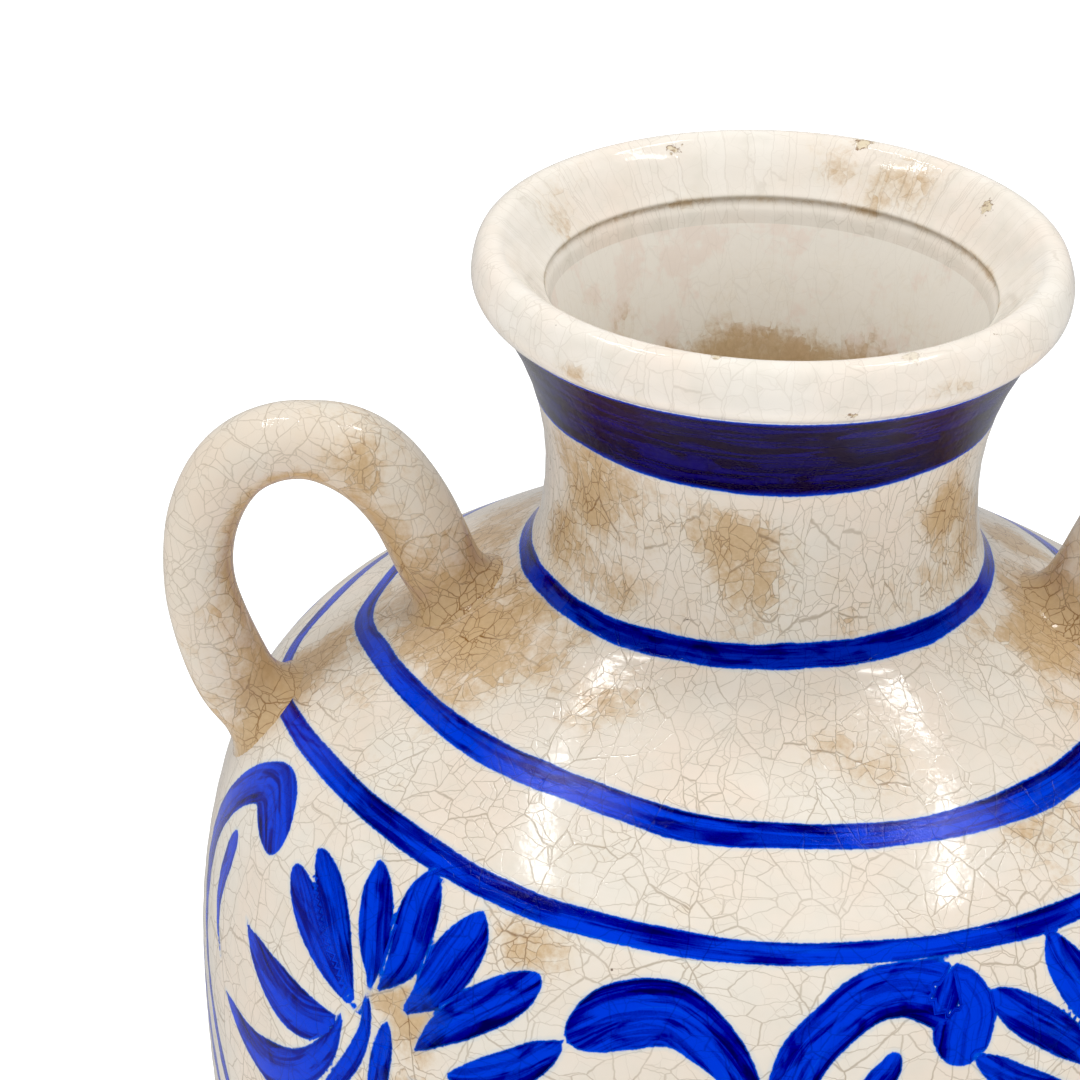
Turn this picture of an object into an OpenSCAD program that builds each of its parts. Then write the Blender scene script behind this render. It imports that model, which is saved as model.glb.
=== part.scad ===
// Two-handled glazed earthenware jar: thrown body in sections, rolled handles.
// Units are millimetres. Z is up, the jar stands on Z = 0. The left handle lies along -X; the
// right one, put on by eye, stands a few degrees forward of +X and a little further out.

/* [Overall] */
// Height from the table to the crest of the rim
jar_height = 310; // [290:1:330]
// Radius of the body at its widest
girth_radius = 119.2; // [110:0.1:128]
// Height of the widest line of the body
girth_height = 145; // [135:1:155]

/* [Foot] */
// Height of the turned foot ring
foot_height = 16; // [10:1:22]
// Radius of the foot ring where it touches the table
foot_radius = 62; // [56:0.5:68]
// Radius of the recess inside the foot ring
foot_recess_radius = 47; // [40:0.5:52]
// Rounding of the two edges the jar stands on
foot_edge_round = 2.5; // [1:0.5:4]

/* [Walls] */
// Wall thickness of the body
wall = 8; // [6:0.5:10]
// Thickness of the floor
floor_thickness = 9; // [7:0.5:12]

/* [Shoulder] */
// Fall of the straight part of the shoulder below level, degrees
shoulder_fall = 29.7; // [28:0.1:33]
// Radius of the flat curve between the straight part and the bend
shoulder_curve = 400; // [250:10:500]
// Angle above level of the face where the flat curve hands over to the bend, degrees
shoulder_angle = 55.5; // [50:0.5:58]
// Radius of the bend between the shoulder and the side
shoulder_bend = 44.6; // [38:0.1:50]
// Radius of the long curve of the side above the girth
side_curve = 140; // [120:5:160]
// Angle above level where the side curve hands over to the bend, degrees
side_angle = 16.3; // [12:0.1:22]

/* [Lower body] */
// Radius of the long curve of the side below the girth
lower_side_curve = 400; // [300:10:500]
// Angle below level where it hands over to the bowl curve, degrees
lower_side_angle = 5; // [3:0.5:8]
// Radius of the bowl curve down to the foot
bowl_curve = 120; // [110:1:130]

/* [Neck] */
// Outside radius at the narrowest place of the neck
throat_radius = 45; // [42:0.5:50]
// Height of the narrowest place
throat_height = 257; // [250:1:262]
// Radius of the hollow outside curve of the neck
neck_curve = 64.1; // [55:0.1:75]
// Inside radius at the narrowest place of the neck
bore_radius = 37.5; // [34:0.5:40]
// Height of the narrowest place inside
bore_height = 252; // [246:1:258]
// Radius of the inside curve of the neck
bore_curve = 126.5; // [110:0.5:140]
// Radius of the soft corner where the neck meets the shoulder
joint_round = 14; // [8:1:18]

/* [Rim] */
// Outside radius of the rim
rim_radius = 61; // [58:0.5:66]
// Height of the rim's outermost line below its crest
rim_crest = 7.5; // [6:0.5:9]
// Radius of the outer underside of the rim
rim_under = 11.1; // [9:0.1:13]
// Distance from the outermost line down to the joint with the neck
rim_drop = 9; // [7:0.5:10]
// Radius of the outer side of the rim above its outermost line
rim_side = 14; // [12:0.5:18]
// Roundness of the crest
crest_round = 3.5; // [2.5:0.5:5]
// Inside radius at the foot of the sloping inner face
crease_radius = 45.8; // [44.5:0.1:47]
// Depth of that line below the crest
crease_drop = 11; // [9:0.5:13]
// Radius of the tool groove at the foot of the inner face
groove_round = 1.2; // [0.8:0.1:2]

/* [Handles] */
// Radius of the rolled clay in the loop of a handle
handle_thickness = 8.2; // [7:0.1:9]
// Radius of the rolled clay in the straight inner leg
inner_leg_thickness = 8.6; // [7.5:0.1:9.5]
// Radius of the rolled clay in the curved outer leg
outer_leg_thickness = 7.7; // [6.5:0.1:8]
// Radius of the loop along the centre of the clay
loop_radius = 21.1; // [18:0.1:24]
// Distance of the loop's centre from the jar's axis
loop_reach = 95.4; // [88:0.1:100]
// Height of the loop's centre
loop_height = 242.6; // [236:0.1:248]
// Lean of the straight inner leg from upright, degrees
leg_lean = 28; // [20:1:36]
// Radius of the curved outer leg along the centre of the clay
outer_leg_curve = 50.6; // [40:0.1:70]
// Angle above level where the loop hands over to the outer leg, degrees
outer_leg_angle = 17.2; // [0:0.1:30]
// Angle below level where the outer leg ends, under the face of the body
outer_leg_end = 52; // [48:1:56]
// How far the right handle is turned forward of +X, degrees
right_turn = 7; // [0:1:12]
// How much further out the right handle sits
right_shift = 2.5; // [0:0.5:4]
// How far the slip at a root spreads past the clay
slip_spread = 5; // [3:0.5:7]
// How deep the middle of the slip lies below the face of the body
slip_sink = 3; // [2:0.5:5]

/* [Hidden] */
$fn = 96;

cream = [0.93, 0.90, 0.84];
slip_tan = [0.80, 0.66, 0.47];
cobalt = [0.05, 0.10, 0.45];

function polar(r, a) = [r * cos(a), r * sin(a)];
function arc(c, r, a0, a1, n) = [for (i = [0 : n]) c + polar(r, a0 + (a1 - a0) * i / n)];

// Outside of the side above the girth, its bend and the straight shoulder.
side_c = [girth_radius - side_curve, girth_height];
side_end = side_c + polar(side_curve, side_angle);
bend_c = side_end - polar(shoulder_bend, side_angle);
flat_start = bend_c + polar(shoulder_bend, shoulder_angle);
flat_c = flat_start - polar(shoulder_curve, shoulder_angle);
bend_end_angle = 90 - shoulder_fall;
bend_end = flat_c + polar(shoulder_curve, bend_end_angle);
fall = tan(shoulder_fall);

// Neck base: the height where the straight shoulder reaches the neck.
neck_c = [throat_radius + neck_curve, throat_height];
joint_h = 237.3;
joint_r = bend_end[0] - (joint_h - bend_end[1]) / fall;
bore_c = [bore_radius + bore_curve, bore_height];
function neck_r(h) = neck_c[0] - sqrt(pow(neck_curve, 2) - pow(h - neck_c[1], 2));
function bore_r(h) = bore_c[0] - sqrt(pow(bore_curve, 2) - pow(h - bore_c[1], 2));

rim_h = jar_height - rim_crest;
rim_joint_h = rim_h - rim_drop;
rim_joint_r = rim_radius - rim_under + sqrt(pow(rim_under, 2) - pow(rim_drop, 2));

// Below the girth.
low_c = [girth_radius - lower_side_curve, girth_height];
low_end = low_c + polar(lower_side_curve, -lower_side_angle);
bowl_c = low_end - polar(bowl_curve, -lower_side_angle);
function bowl_angle(h, t) = -asin((bowl_c[1] - h) / (bowl_curve - t));
foot_top_r = bowl_c[0] + sqrt(pow(bowl_curve, 2) - pow(bowl_c[1] - foot_height, 2));

// Outline of the body above the girth, t inside the outer face.
function upper_line(t) = concat(
    arc(side_c, side_curve - t, 0, side_angle, 6),
    [for (i = [1 : 12]) bend_c + polar(shoulder_bend - t, side_angle + (shoulder_angle - side_angle) * i / 12)],
    [for (i = [1 : 4]) flat_c + polar(shoulder_curve - t, shoulder_angle + (bend_end_angle - shoulder_angle) * i / 4)]);

// Outline of the body below the girth, t inside the outer face, down to height h.
function lower_line(t, h) = concat(
    arc(low_c, lower_side_curve - t, 0, -lower_side_angle, 3),
    [for (i = [1 : 16]) bowl_c + polar(bowl_curve - t,
        -lower_side_angle + (bowl_angle(h, t) + lower_side_angle) * i / 16)]);

module foot_ring() {
    color(cream) rotate_extrude() polygon(concat(
        arc([foot_radius - foot_edge_round, foot_edge_round], foot_edge_round, 0, -90, 6),
        arc([foot_recess_radius + foot_edge_round, foot_edge_round], foot_edge_round, -90, -180, 6),
        [[foot_recess_radius - 1, foot_height], [foot_top_r, foot_height]],
        arc([foot_top_r + 6.4, foot_height - 5.5], 6.4, 160, 200, 5)));
}

module lower_body() {
    color(cream) rotate_extrude() difference() {
        polygon(concat([[0, girth_height]], lower_line(0, foot_height), [[0, foot_height]]));
        polygon(concat([[0, girth_height + 1], [girth_radius - wall, girth_height + 1]],
            lower_line(wall, foot_height + floor_thickness),
            [[0, foot_height + floor_thickness]]));
    }
}

// Cut through the wall of the shoulder.
module shoulder_wall() {
    n = polar(1, bend_end_angle);
    inner_end = bend_end - wall * n;
    polygon(concat(
        upper_line(0),
        [[joint_r, joint_h], [bore_r(joint_h), joint_h]],
        [[bore_r(joint_h), inner_end[1] + (inner_end[0] - bore_r(joint_h)) * fall]],
        [for (i = [0 : 22]) upper_line(wall)[22 - i]]));
}

// Everything inside the outer face of the shoulder, used to trim what sits on it.
module body_fill() {
    rotate_extrude() polygon(concat([[0, girth_height - 60], [girth_radius, girth_height - 60]],
        upper_line(0), [[joint_r, joint_h], [0, joint_h]]));
}

module shoulder() {
    color(cream) rotate_extrude() shoulder_wall();
}

module neck() {
    a0 = asin((joint_h - neck_c[1]) / neck_curve);
    a1 = asin((rim_joint_h - neck_c[1]) / neck_curve);
    b0 = asin((joint_h - bore_c[1]) / bore_curve);
    b1 = asin((rim_joint_h - bore_c[1]) / bore_curve);
    color(cobalt) rotate_extrude() polygon(concat(
        arc(neck_c, neck_curve, 180 - a0, 180 - a1, 18),
        arc(bore_c, bore_curve, 180 - b1, 180 - b0, 10)));
}

// Clay worked into the corner at the foot of the neck.
module neck_joint_coil() {
    n = polar(1, bend_end_angle);
    along = [-n[1], n[0]];
    gap = (neck_c - bend_end) * n - joint_round;
    reach = neck_curve - joint_round;
    c = neck_c - gap * n + sqrt(reach * reach - gap * gap) * along;
    foot_pt = c - joint_round * n;
    v = c - neck_c;
    top_a = atan2(v[1], v[0]);
    start_a = atan2(-n[1], -n[0]);
    low_a = 180 - asin((joint_h - neck_c[1]) / neck_curve);
    color(cream) rotate_extrude() polygon(concat(
        [[joint_r, joint_h]],
        [foot_pt],
        [for (i = [1 : 8]) c + polar(joint_round, start_a + (top_a - start_a) * i / 8)],
        [for (i = [1 : 5]) neck_c + polar(neck_curve, (top_a + 360) % 360 + (low_a - (top_a + 360) % 360) * i / 5)]));
}

module mouth_rim() {
    under_c = [rim_radius - rim_under, rim_h];
    side_c = [rim_radius - rim_side, rim_h];
    u0 = -asin(rim_drop / rim_under);
    // the side leans in until the crest rounds it over
    side_a = asin((rim_crest - crest_round) / (rim_side - crest_round));
    crest_c = side_c + polar(rim_side - crest_round, side_a);
    crease = [crease_radius, jar_height - crease_drop];
    d = crease - crest_c;
    // where the sloping inner face leaves the crest
    lean = (atan2(d[1], d[0]) + 360) % 360 - acos(crest_round / norm(d));
    color(cream) rotate_extrude() difference() {
        polygon(concat(
            arc(under_c, rim_under, u0, 0, 8),
            [for (i = [1 : 4]) side_c + polar(rim_side, side_a * i / 4)],
            [for (i = [1 : 9]) crest_c + polar(crest_round, side_a + (lean - side_a) * i / 9)],
            [crease, [bore_r(rim_joint_h) + 0.3, rim_joint_h + 3], [bore_r(rim_joint_h), rim_joint_h]]));
        translate(crease + [0.3, -0.6]) circle(r = groove_round);
    }
}

// Centre line of a handle in its upright plane: straight inner leg, loop, curved outer leg.
loop_c = [loop_reach, loop_height];
inner_a = 180 - leg_lean;
inner_t = loop_c + polar(loop_radius, inner_a);
leg_way = [-sin(leg_lean), -cos(leg_lean)];
outer_t = loop_c + polar(loop_radius, outer_leg_angle);
outer_c = outer_t - polar(outer_leg_curve, outer_leg_angle);

// Where the centre line meets the face of the body, s further out than the left handle.
leg_run = (inner_t[1] - bend_end[1] - (bend_end[0] - inner_t[0]) * fall) / (cos(leg_lean) + sin(leg_lean) * fall);
inner_face_r = inner_t[0] + leg_run * leg_way[0];
outer_face_r = 104.7;
function inner_face(s) = [inner_face_r + s, bend_end[1] + (bend_end[0] - inner_face_r - s) * fall];
function outer_face_angle(s) = acos((outer_face_r + s - bend_c[0]) / shoulder_bend);

module turned_arc(c, r, a0, a1, thick) {
    translate([c[0], 0, c[1]]) rotate([90, 0, 0]) rotate([0, 0, a0])
        rotate_extrude(angle = a1 - a0) translate([r, 0]) circle(r = thick);
}

// The rolled clay, carried on under the face of the body by extra at both ends. The legs
// run 3 mm into the loop, so that the three lengths are one piece of clay.
module rolled_clay(extra) {
    turned_arc(loop_c, loop_radius, outer_leg_angle, inner_a, handle_thickness);
    turned_arc(outer_c, outer_leg_curve, -outer_leg_end - extra / 4,
        outer_leg_angle + 3.4, outer_leg_thickness);
    translate([inner_t[0] + 3 * sin(leg_lean), 0, inner_t[1] + 3 * cos(leg_lean)])
        rotate([0, 180 + leg_lean, 0]) cylinder(h = leg_run + 12 + extra, r = inner_leg_thickness);
}

module handle_solid(s) {
    difference() {
        translate([s, 0, 0]) rolled_clay(0);
        body_fill();
    }
}

// Ball of slip pressed round a root; p is on the face, lean the angle of its normal, r the size.
module slip_ball(p, lean, r) {
    c = p - polar(slip_sink, lean);
    translate([c[0], 0, c[1]]) rotate([0, 90 - lean, 0]) sphere(r = r);
}

module root_slip_solid(s) {
    difference() {
        union() {
            slip_ball(inner_face(s), bend_end_angle, inner_leg_thickness + slip_spread - 1);
            slip_ball(bend_c + polar(shoulder_bend, outer_face_angle(s)), outer_face_angle(s),
                outer_leg_thickness + slip_spread + 0.8);
        }
        body_fill();
        translate([s, 0, 0]) rolled_clay(16);
    }
}

module handle_right() { color(cream) rotate([0, 0, -right_turn]) handle_solid(right_shift); }
module handle_left() { color(cream) rotate([0, 0, 180]) handle_solid(0); }
module handle_right_root_slip() { color(slip_tan) rotate([0, 0, -right_turn]) root_slip_solid(right_shift); }
module handle_left_root_slip() { color(slip_tan) rotate([0, 0, 180]) root_slip_solid(0); }

foot_ring();
lower_body();
shoulder();
neck_joint_coil();
neck();
mouth_rim();
handle_left();
handle_right();
handle_left_root_slip();
handle_right_root_slip();
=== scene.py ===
import math

import bpy
import numpy as np
from mathutils import Matrix


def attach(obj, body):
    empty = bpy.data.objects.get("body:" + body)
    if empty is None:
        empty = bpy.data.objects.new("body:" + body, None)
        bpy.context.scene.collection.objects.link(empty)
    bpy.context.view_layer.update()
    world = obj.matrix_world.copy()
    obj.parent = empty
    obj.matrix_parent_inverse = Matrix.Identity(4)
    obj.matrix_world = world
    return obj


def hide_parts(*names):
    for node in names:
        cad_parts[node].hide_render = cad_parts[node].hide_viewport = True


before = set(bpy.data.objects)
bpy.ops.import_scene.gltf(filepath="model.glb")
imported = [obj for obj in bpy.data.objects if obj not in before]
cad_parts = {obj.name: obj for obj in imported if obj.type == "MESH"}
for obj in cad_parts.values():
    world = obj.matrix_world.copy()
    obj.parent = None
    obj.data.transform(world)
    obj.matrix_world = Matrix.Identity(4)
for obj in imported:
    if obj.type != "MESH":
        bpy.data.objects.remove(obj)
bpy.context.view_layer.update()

MM = 0.001
RNG = np.random.default_rng(41)


# ---------------------------------------------------------------- outline of the jar, millimetres
def arc(c, r, a0, a1, n):
    a = np.radians(np.linspace(a0, a1, n + 1))
    return np.stack([c[0] + r * np.cos(a), c[1] + r * np.sin(a)], -1)


def pol(r, a):
    return np.array([r * math.cos(math.radians(a)), r * math.sin(math.radians(a))])


GIRTH_R, GIRTH_H = 119.2, 145.0
SIDE_C = np.array([GIRTH_R - 140, GIRTH_H])
SIDE_E = SIDE_C + pol(140, 16.3)
BEND_C = SIDE_E - pol(44.6, 16.3)
FLAT_S = BEND_C + pol(44.6, 55.5)
FLAT_C = FLAT_S - pol(400, 55.5)
BEND_E = FLAT_C + pol(400, 60.3)
FALL = math.tan(math.radians(29.7))
JOINT_H = 237.3
JOINT_R = BEND_E[0] - (JOINT_H - BEND_E[1]) / FALL
NECK_C = np.array([109.1, 257.0])
BORE_C = np.array([164.0, 252.0])
LOW_C = np.array([GIRTH_R - 400, GIRTH_H])
LOW_E = LOW_C + pol(400, -5)
BOWL_C = LOW_E - pol(120, -5)
FOOT_H = 16.0
FOOT_TOP_R = BOWL_C[0] + math.sqrt(120**2 - (BOWL_C[1] - FOOT_H) ** 2)
RIM_H, RIM_J = 302.5, 293.5
WALL = 8.0
N_S = np.array([math.sin(math.radians(29.7)), math.cos(math.radians(29.7))])


def neck_r(h):
    return NECK_C[0] - np.sqrt(64.1**2 - (h - NECK_C[1]) ** 2)


def bore_r(h):
    return BORE_C[0] - np.sqrt(126.5**2 - (h - BORE_C[1]) ** 2)


# the soft corner between shoulder and neck
_gap = float((NECK_C - BEND_E) @ N_S) - 14.0
_reach = 64.1 - 14.0
_along = np.array([-N_S[1], N_S[0]])
COIL_C = NECK_C - _gap * N_S + math.sqrt(_reach**2 - _gap**2) * _along
COIL_LOW = COIL_C - 14.0 * N_S
_v = COIL_C - NECK_C
COIL_A1 = math.degrees(math.atan2(_v[1], _v[0])) % 360
COIL_A0 = math.degrees(math.atan2(-N_S[1], -N_S[0])) % 360
COIL_TOP = NECK_C + pol(64.1, COIL_A1)

lower_out = np.concatenate([arc(BOWL_C, 120, -math.degrees(math.asin((BOWL_C[1] - FOOT_H) / 120)), -5, 120)[:-1],
                            arc(LOW_C, 400, -5, 0, 40)])
upper_out = np.concatenate([arc(SIDE_C, 140, 0, 16.3, 50)[:-1], arc(BEND_C, 44.6, 16.3, 55.5, 44)[:-1],
                            arc(FLAT_C, 400, 55.5, 60.3, 30)[:-1], np.linspace(BEND_E, COIL_LOW, 30)])
coil_out = arc(COIL_C, 14.0, COIL_A0, COIL_A1, 20)
_a0 = math.degrees(math.asin((COIL_TOP[1] - NECK_C[1]) / 64.1))
_a1 = math.degrees(math.asin((RIM_J - NECK_C[1]) / 64.1))
neck_out = arc(NECK_C, 64.1, 180 - _a0, 180 - _a1, 60)

FULL = np.concatenate([lower_out[:-1], upper_out[:-1], coil_out[:-1], neck_out])
FULL_S = np.concatenate([[0], np.cumsum(np.hypot(*np.diff(FULL, axis=0).T))])
_girth_s = np.interp(GIRTH_H, FULL[:, 1], FULL_S)
FULL_S = FULL_S - _girth_s
FULL_T = np.gradient(FULL, FULL_S, axis=0)
_k = np.exp(-0.5 * (np.arange(-6, 7) / 2.5) ** 2)
_k /= _k.sum()
FULL_T = np.stack([np.convolve(np.pad(FULL_T[:, i], 6, mode="edge"), _k, "valid") for i in (0, 1)], -1)
FULL_T /= np.hypot(FULL_T[:, 0], FULL_T[:, 1])[:, None]
S_FOOT, S_COIL0 = FULL_S[0], float(np.interp(COIL_LOW[1], FULL[:, 1], FULL_S))
S_COIL1, S_RIM = float(np.interp(COIL_TOP[1], FULL[:, 1], FULL_S)), FULL_S[-1]


def at_s(s):
    """Radius, height and outward normal of the outside at arc length s."""
    r, h = np.interp(s, FULL_S, FULL[:, 0]), np.interp(s, FULL_S, FULL[:, 1])
    tr, th = np.interp(s, FULL_S, FULL_T[:, 0]), np.interp(s, FULL_S, FULL_T[:, 1])
    n = np.hypot(tr, th)
    return r, h, th / n, -tr / n


def chain_normals(p):
    """Normals of an open outline, to the right of its direction of travel."""
    t = np.gradient(p, axis=0)
    t /= np.maximum(np.hypot(t[:, 0], t[:, 1]), 1e-9)[:, None]
    return np.stack([t[:, 1], -t[:, 0]], -1)


def resample(p, step):
    d = np.concatenate([[0], np.cumsum(np.hypot(*np.diff(p, axis=0).T))])
    n = max(2, int(round(d[-1] / step)) + 1)
    t = np.linspace(0, d[-1], n)
    return np.stack([np.interp(t, d, p[:, 0]), np.interp(t, d, p[:, 1])], -1)


def smooth_curve(pts, n=12):
    """Catmull-Rom through given points."""
    p = np.array(pts, float)
    p = np.concatenate([[2 * p[0] - p[1]], p, [2 * p[-1] - p[-2]]])
    out = []
    for i in range(1, len(p) - 2):
        for t in np.linspace(0, 1, n, endpoint=False):
            out.append(0.5 * ((2 * p[i]) + (-p[i - 1] + p[i + 1]) * t + (2 * p[i - 1] - 5 * p[i] + 4 * p[i + 1] - p[i + 2]) * t**2
                              + (-p[i - 1] + 3 * p[i] - 3 * p[i + 1] + p[i + 2]) * t**3))
    out.append(p[-2])
    return np.array(out)


# ---------------------------------------------------------------- hand-thrown irregularity
def wobble(phi, h):
    """Small radial departure from a true circle, millimetres."""
    return (0.22 * np.sin(2 * phi + 0.9 + h / 140) + 0.12 * np.sin(3 * phi + 2.1 - h / 70)
            + 0.05 * np.sin(5 * phi + h / 23) + 0.035 * np.sin(2 * math.pi * h / 6.3 + phi + 0.6 * np.sin(phi)))


# ---------------------------------------------------------------- brushwork
# Each stroke is a list of (azimuth in degrees, distance up the outline from the girth in mm, half width in mm).
# The jar carries the same group on both faces; it is laid out about CENTRE and mirrored there.
CENTRE = 267.0
FLOWER = {
    "petal1": [(208.2, 49.1, 0.13), (209.3, 47.6, 2.4), (211.6, 44.9, 4.1), (213.8, 41.8, 4.4), (216.6, 38, 3.6), (219.4, 34.8, 2.6), (222, 32.1, 1.04), (223.3, 31, 0.4)],
    "petal2": [(210.4, 55, 0.25), (211.7, 54, 2), (214.1, 51.1, 3.6), (216.3, 47.7, 4.1), (218.2, 43.6, 3.9), (219.9, 39.6, 2.85), (221.3, 35.6, 1.66), (222.4, 32.1, 0.57)],
    "petal3": [(219.1, 61, 0.12), (220.2, 58.7, 1.9), (221.1, 55.5, 3.6), (222.1, 52, 4.3), (223, 47.9, 4.3), (223.7, 44.1, 3.4), (224.1, 40.2, 1.7), (224.2, 36.4, 0.4)],
    "petal4": [(226.7, 64.6, 0.17), (226.9, 62.1, 2.2), (227.1, 58.7, 4.1), (227.4, 54.5, 5), (227.7, 50.1, 4.7), (227.6, 45.7, 4), (226.6, 41.4, 2.2), (225.3, 37.4, 0.3)],
    "petal5": [(234.7, 60.7, 0.12), (234.5, 58.6, 1.9), (234.3, 55, 4.2), (233.6, 51.1, 5.3), (232.9, 47.4, 5.3), (231.9, 43, 4.2), (230.6, 39.5, 2.4), (229.4, 36.8, 1.15)],
    "petal6": [(243.1, 52.4, 0.15), (242.3, 50.4, 2.4), (241, 48, 4), (239.3, 45.2, 4.7), (237.4, 42.3, 4.7), (235.4, 38.8, 4.2), (233.5, 35.1, 3), (232.1, 31.8, 1.65), (231, 29.1, 0.17)],
    "petal7": [(246.6, 41.1, 0.12), (245.8, 39.1, 1.8), (244.2, 36.4, 3.4), (242.2, 33.2, 4), (239.8, 30.4, 3.8), (237.4, 28.1, 2.7), (235.5, 27, 0.96)],
    "leaf1": [(202.1, 29.7, 0.13), (203.5, 27.7, 1.2), (205.7, 26.1, 3.2), (208.1, 24.4, 4.5), (210.7, 23.2, 5.5), (213.3, 22.4, 5.7), (215.9, 22.6, 5), (218.5, 24.1, 3.25), (220.7, 25.9, 1.45)],
    "leaf2": [(198.7, 7.7, 0.2), (201.5, 6.5, 1.8), (204.7, 4.9, 3.2), (207.9, 4.4, 4.4), (211.3, 5.1, 5.6), (214.8, 8.4, 4.7), (217.8, 13.6, 3.6), (219.9, 19.6, 2.7), (221, 25.7, 1.1), (221.2, 28.8, 0.2)],
    "stem1": [(224, 35.7, 0.17), (224.3, 33.1, 1.2), (224.6, 29.4, 1.5), (224.3, 25.1, 2), (223.4, 20.1, 2.3), (222, 15, 2.2), (219.6, 7, 2), (216, -2, 1.5), (211.5, -9, 0.4)],
    "stem2": [(227.1, 32.4, 0.13), (227.2, 30.1, 1.5), (227.2, 26.2, 2.5), (227.1, 22, 2.75), (227, 17, 2.6), (227.2, 11, 2), (227.8, 4, 0.3)],
    "petal8": [(231, 22.6, 0.3), (232.6, 21, 1.6), (235, 18.6, 3.3), (237.6, 16, 3.9), (240.2, 14.2, 3.2), (242.8, 13.2, 0.4)],
    "petal9": [(229.4, 16.5, 0.3), (230.6, 13.5, 1.9), (232, 9, 3.3), (233.8, 4, 3.6), (235.6, -0.5, 2.6), (237, -4, 0.3)],
    "petal10": [(222.6, -4, 0.3), (223.6, -8, 2.2), (225, -13, 3.4), (226.6, -18, 3.5), (228, -23, 2.2), (228.8, -27, 0.3)],
    "petal11": [(230.8, -4, 0.3), (232.4, -8, 2), (234.8, -12, 3.2), (237.6, -16, 3), (240.4, -19, 0.3)],
    "scroll1": [(202.8, 47.1, 0.35), (202.3, 50.1, 4.6), (200.4, 53, 6.6), (198.6, 54.9, 6.6), (197, 55.6, 5.8), (195.1, 54.7, 4.9), (192.7, 51.5, 4.6), (190.5, 46.9, 4.25), (188.4, 41, 3.9), (186.5, 34.3, 3.9), (185.9, 28.3, 3.9), (186.1, 22.8, 3.5), (187.1, 17.2, 2.6), (189, 9.5, 1.7), (191.5, 1, 1.5), (194.6, -8, 1.9), (198.6, -17, 2.3), (203.6, -25, 2.5), (209.4, -31, 2.2), (215, -34, 0.4)],
    "stroke1": [(194.2, 40.6, 0.9), (194, 38, 2.6), (193.6, 33.5, 3), (193.2, 28.6, 2.6), (193.2, 24, 2), (194, 19.1, 1.1), (196.2, 13.3, 0.4)],
    "stroke2": [(184.6, 6, 0.3), (186, -1, 1.5), (188.2, -9, 2.2), (191.2, -17, 2.4), (195, -25, 1.8), (199, -31, 0.3)],
}
LYRE_LEFT = {
    "lyreL": [(247.8, 43.2, 0.7), (248.3, 43.4, 3.1), (249.7, 45.4, 5.2), (251.4, 47.5, 6.4), (253.3, 48.9, 6.7), (255.1, 49.8, 6.6), (257.2, 49.9, 6.3), (259.1, 48.4, 5.7), (260.8, 46.1, 5.3), (262.3, 43.6, 4.7), (263.5, 40.9, 4.1), (264.7, 36.5, 3.4), (265.4, 31, 2.7), (265.5, 25, 2), (264.9, 18, 1)],
}
LYRE_RIGHT = {
    "lyreR": [(286.2, 40.1, 0.14), (286.2, 42.6, 3.4), (286.3, 44.9, 6.1), (287, 48.9, 6.1), (286.3, 51.9, 6.3), (285.1, 52.5, 6.6), (283.4, 53.9, 6.2), (281.3, 54.9, 5.5), (278.5, 54.7, 5.1), (276.1, 53.1, 5), (274, 50.1, 4.8), (271.9, 46.6, 4.9), (270.4, 43.1, 5), (269.4, 39, 4.6), (268.3, 34, 3.6), (267.8, 28, 2.6), (268, 22, 1.6), (268.8, 17, 0.5)],
    "lyreR_tip": [(286.6, 58.1, 0.2), (286.1, 56.3, 1.2), (285.6, 54.3, 2.2), (285.1, 52.4, 3)],
    "leafR": [(279.5, 43.2, 0.2), (279.1, 41.6, 1.8), (278.6, 39.7, 2.5), (277.9, 38.2, 2.8), (276.6, 35, 2.9), (274.8, 31, 2.4), (272.6, 27, 0.3)],
}
BELOW = {
    "tail1": [(266.4, 14, 0.4), (264.8, 9, 2.4), (262, 3.5, 3.6), (258.2, -1, 4.2), (254, -3, 4.6), (250.4, -1.5, 5.2), (248.6, 2.2, 5), (249.2, 5.6, 2.4), (250.4, 7.2, 0.3)],
    "drop1": [(267, 10, 0.3), (267, 5, 2.2), (267, -1, 3.3), (267, -8, 3.5), (267, -15, 2.4), (267, -21, 0.3)],
    "drop2": [(265.4, -14, 0.3), (262.8, -18, 2.2), (259.2, -21.5, 3.3), (255.2, -23.5, 3.1), (251.4, -24, 0.3)],
    "drop3": [(252, -12, 0.3), (249, -14, 2), (245.6, -15, 2.6), (242.8, -14.4, 0.3)],
}


def mirrored(strokes):
    return {k + "_m": [(2 * CENTRE - a, s, w) for a, s, w in v] for k, v in strokes.items()}


def shifted(strokes, turn, seed):
    """The same hand painting the group again: every stroke a little different."""
    g = np.random.default_rng(seed)
    out = {}
    for k, v in strokes.items():
        da, ds, kw, sh = g.normal(0, .45), g.normal(0, .9), 1 + g.normal(0, .06), g.normal(0, .02)
        m = np.mean([p[1] for p in v])
        out[k + "_%d" % seed] = [(a + turn + da + sh * (s - m), s + ds, w * kw) for a, s, w in v]
    return out


FRONT = {}
FRONT.update(FLOWER)
FRONT.update(LYRE_LEFT)
FRONT.update(LYRE_RIGHT)
FRONT.update(BELOW)
_m = mirrored({k: v for k, v in BELOW.items() if k != "drop1"})
FRONT.update(_m)
_fm = shifted(mirrored(FLOWER), 0, 7)
FRONT.update(_fm)
BACK = shifted(FRONT, 180.0, 11)
STROKES = {**FRONT, **BACK}

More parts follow.
